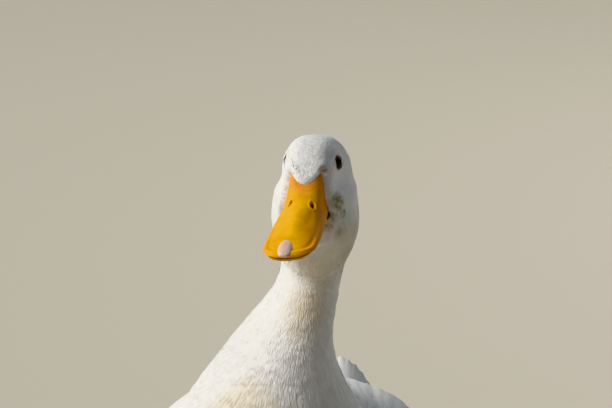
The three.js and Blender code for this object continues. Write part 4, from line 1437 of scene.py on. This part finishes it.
tailSetup = {
    "ahead": -146, "up": 160, "pitch": 29, "turn": -8, "length": 88, "spread": 18,
    # rows from the lowest layer to the top one: feather, how many, how far out their roots are, length,
    # width, height over the fan and droop of its sides
    "rows": [
        ("undertail", 13, 10, 56, 16, -0.6, 0.004), ("undertail", 13, 2, 54, 15, -1.2, 0.004),
        ("undertail", 12, -6, 52, 15, -1.8, 0.004), ("undertail", 12, -12, 48, 14, -2.4, 0.004),
        ("undertail", 11, -18, 45, 14, -3.0, 0.004), ("undertail", 10, -24, 42, 13, -3.6, 0.004),
        ("tail", 12, 6, 82, 23, 2.0, 0.032), ("covert", 11, 4, 50, 19, 3.6, 0.032),
        ("covert", 11, -8, 44, 18, 5.4, 0.032),
    ],
    # the coverts under the fan lie on a wedge: how far out it closes, its depth at the root, the droop of
    # its sides there
    "wedge": {"reach": 66, "depth": 21, "droop": 0.032},
    "shorter": 0.14,  # share by which the outermost feathers are shorter
    "rootWidth": 26,  # mm from where the feathers would meet to where the fan begins
}


def tailPlace(radius, angle, high, droop):
    # mm out along the fan, degrees to the side and mm over it, to side, ahead and up
    s = tailSetup
    turned, pitch, turn = np.radians(angle), math.radians(s["pitch"]), math.radians(s["turn"])
    wider = s["rootWidth"] * np.clip(1 - (radius - 12) / (s["length"] - 12), 0, 1.3)
    side, forward = (radius + wider) * np.sin(turned), radius * np.cos(turned)
    height = high - droop * side**2
    return np.stack([
        side + forward * math.sin(turn),
        s["ahead"] - forward * math.cos(pitch) + height * math.sin(pitch),
        s["up"] + forward * math.sin(pitch) + height * math.cos(pitch),
    ], -1)


def makeTail(material):
    s, store, chance = tailSetup, newStore(), np.random.default_rng(77)
    spread, shorter, wedge = s["spread"], s["shorter"], s["wedge"]
    for shape, count, root, length, width, up, droop in s["rows"]:
        *_, lean, vary = vaneShapes[shape]
        # the outer feathers go on first, so that the middle ones lie over them
        for k in sorted(range(count), key=lambda k: -abs(k - (count - 1) / 2)):
            share = k / (count - 1) * 2 - 1
            reach = length * (1 - shorter * share**2) * chance.uniform(1 - vary, 1 + vary)
            top = up - math.copysign(1.4 * abs(share), up)

            def laid(along, across, high):
                here = share * spread + np.degrees(across / np.maximum(root + along + s["rootWidth"], 30))
                # the tips end along one smooth curve
                outer = np.clip(here / spread, -1.25, 1.25)
                along = along * (1 - shorter * outer**2) / (1 - shorter * share**2)
                height = top + high - lean * across / width * np.sign(share + 1e-6)
                if up > 0:
                    return tailPlace(root + along, here, height - 0.02 * along, droop)
                close = np.clip((root + along) / wedge["reach"], -0.5, 1)
                height = height - 1.2 - wedge["depth"] * (1 - close)
                return tailPlace(root + along, here, height, droop + (wedge["droop"] - droop) * close)

            layVane(store, shape, reach, width * chance.uniform(0.95, 1.05), laid, chance)
    finishVanes("tailFeathers", store, material, "tail")


# Legs: the solids made one smooth form

legSetup = {"voxel": 0.85, "rounds": 4, "clawVoxel": 0.3, "clawRounds": 3,
            "toes": ("inner", "middle", "outer", "hind")}


def refined(name, nodes, voxel, rounds, material, slot):
    whole = bmesh.new()
    for node in nodes:
        whole.from_mesh(frame["nodes"][node].data)
    fine = voxelled(name, whole, voxel)
    points = smoothed(pointsOf(fine), fine, inAndOut * rounds)
    points[:, 2] = np.maximum(points[:, 2], 0)
    movePoints(fine, points)
    shadeSmooth(fine)
    fine.materials.append(material)
    ridden(linked(name, fine), slot, *nodes)
    countTriangles(name, fine)


def makeLegs(legSkin, clawHorn):
    s = legSetup
    for word in ("left", "right"):
        side, nodes = word.title(), [f"leg_{word}", f"foot_{word}"]
        refined(f"leg{side}", nodes, s["voxel"], s["rounds"], legSkin, "leg_skin")
        for toe in s["toes"]:
            nodes = [f"claw_{toe}_{word}"]
            refined(f"{toe}Claw{side}", nodes, s["clawVoxel"], s["clawRounds"], clawHorn, "claw_horn")


def legMaterial():
    # the scutes are cells with a sunk crease between them
    material, tree, shader = newMaterial("legSkin", 0.5, **{
        "Subsurface Weight": 0.1, "Subsurface Scale": 0.0015, "Specular IOR Level": 0.4})
    place = objectPlace(tree)
    fine = addGrain(tree, shader, place, 900.0, 4.0, 0.38, 0.2)
    edges = addNode(tree, "ShaderNodeTexVoronoi", {"Vector": place, "Scale": 420.0},
                    feature="DISTANCE_TO_EDGE")
    colour = addRamp(tree, addNoise(tree, place, 90.0, 5.0), (0.3, (0.66, 0.20, 0.012)),
                     (0.5, (0.80, 0.28, 0.018)), (0.7, (0.88, 0.36, 0.04)))
    colour = mixColour(tree, 0.12, colour, (0.9, 0.5, 0.15))
    crease = addRamp(tree, edges.outputs["Distance"], (0.0, (1, 1, 1)), (0.12, (0, 0, 0)))
    colour = tinted(tree, colour, (0.30, 0.10, 0.02), crease, 0.45)
    plug(tree, shader.inputs["Base Color"], colour)
    height = mathNode(tree, "SUBTRACT", mathNode(tree, "MULTIPLY", fine, 0.4), crease)
    plug(tree, shader.inputs["Normal"], raised(tree, height, 0.5, 0.5 * mm))
    return material


def clawMaterial():
    material, tree, shader = newMaterial("clawHorn", 0.35, **{"Specular IOR Level": 0.5})
    fine = addGrain(tree, shader, objectPlace(tree), 700.0, 4.0, 0.25, 0.2, 0.3, 0.3)
    colour = addRamp(tree, fine, (0.3, (0.30, 0.17, 0.09)), (0.6, (0.52, 0.34, 0.20)),
                     (0.8, (0.62, 0.45, 0.30)))
    return painted(material, colour)


# Putting the bird together

makeStudio(makeCamera())
print("camera and light are set")

plumageColour, fineGrain = plumageGroup(), grainGroup()
billSkin, nailHorn, gapeSkin, eyeGloss, lidSkin = (
    billMaterial(), nailMaterial(), gapeMaterial(), eyeMaterial(), lidMaterial())
bill = [makeUpperBill(billSkin), makeLowerBill(billSkin)]
makeNail(nailHorn)
sides = ((1, "Left"), (-1, "Right"))
for way, word in sides:
    makeEye(way, word, eyeGloss)
    makeLid(way, word, lidSkin)
    makeGape(way, word, gapeSkin)
print("bill and eyes are made")

skin = makeSkin()
layPlumage(skin.data, bill)
addUnwrap(skin.data)
skin.data.materials.append(plumageMaterial("downSkin", tufted=False))
ridden(skin, "plumage", *skinSetup["nodes"])
print(f"skin: {len(skin.data.vertices)} points")

strandFinish = plumageMaterial("plumage")
tree, sockets = coatTree()
tufts = {name: makeTufts(name) for name in ("head", "neck", "body")}
for number, name in enumerate(coatPieces):
    growCoat(name, skin, tree, sockets, tufts, strandFinish, 31 + number)
for collection in tufts.values():
    for tuft in list(collection.objects):
        bpy.data.objects.remove(tuft)
    bpy.data.collections.remove(collection)
print("the coat is grown")

vaneFinish = plumageMaterial("longFeathers", barbs=vaneTint)
for way, word in sides:
    makeWing(way, word, vaneFinish)
makeTail(vaneFinish)
makeLegs(legMaterial(), clawMaterial())
print("wings, tail and legs are made")
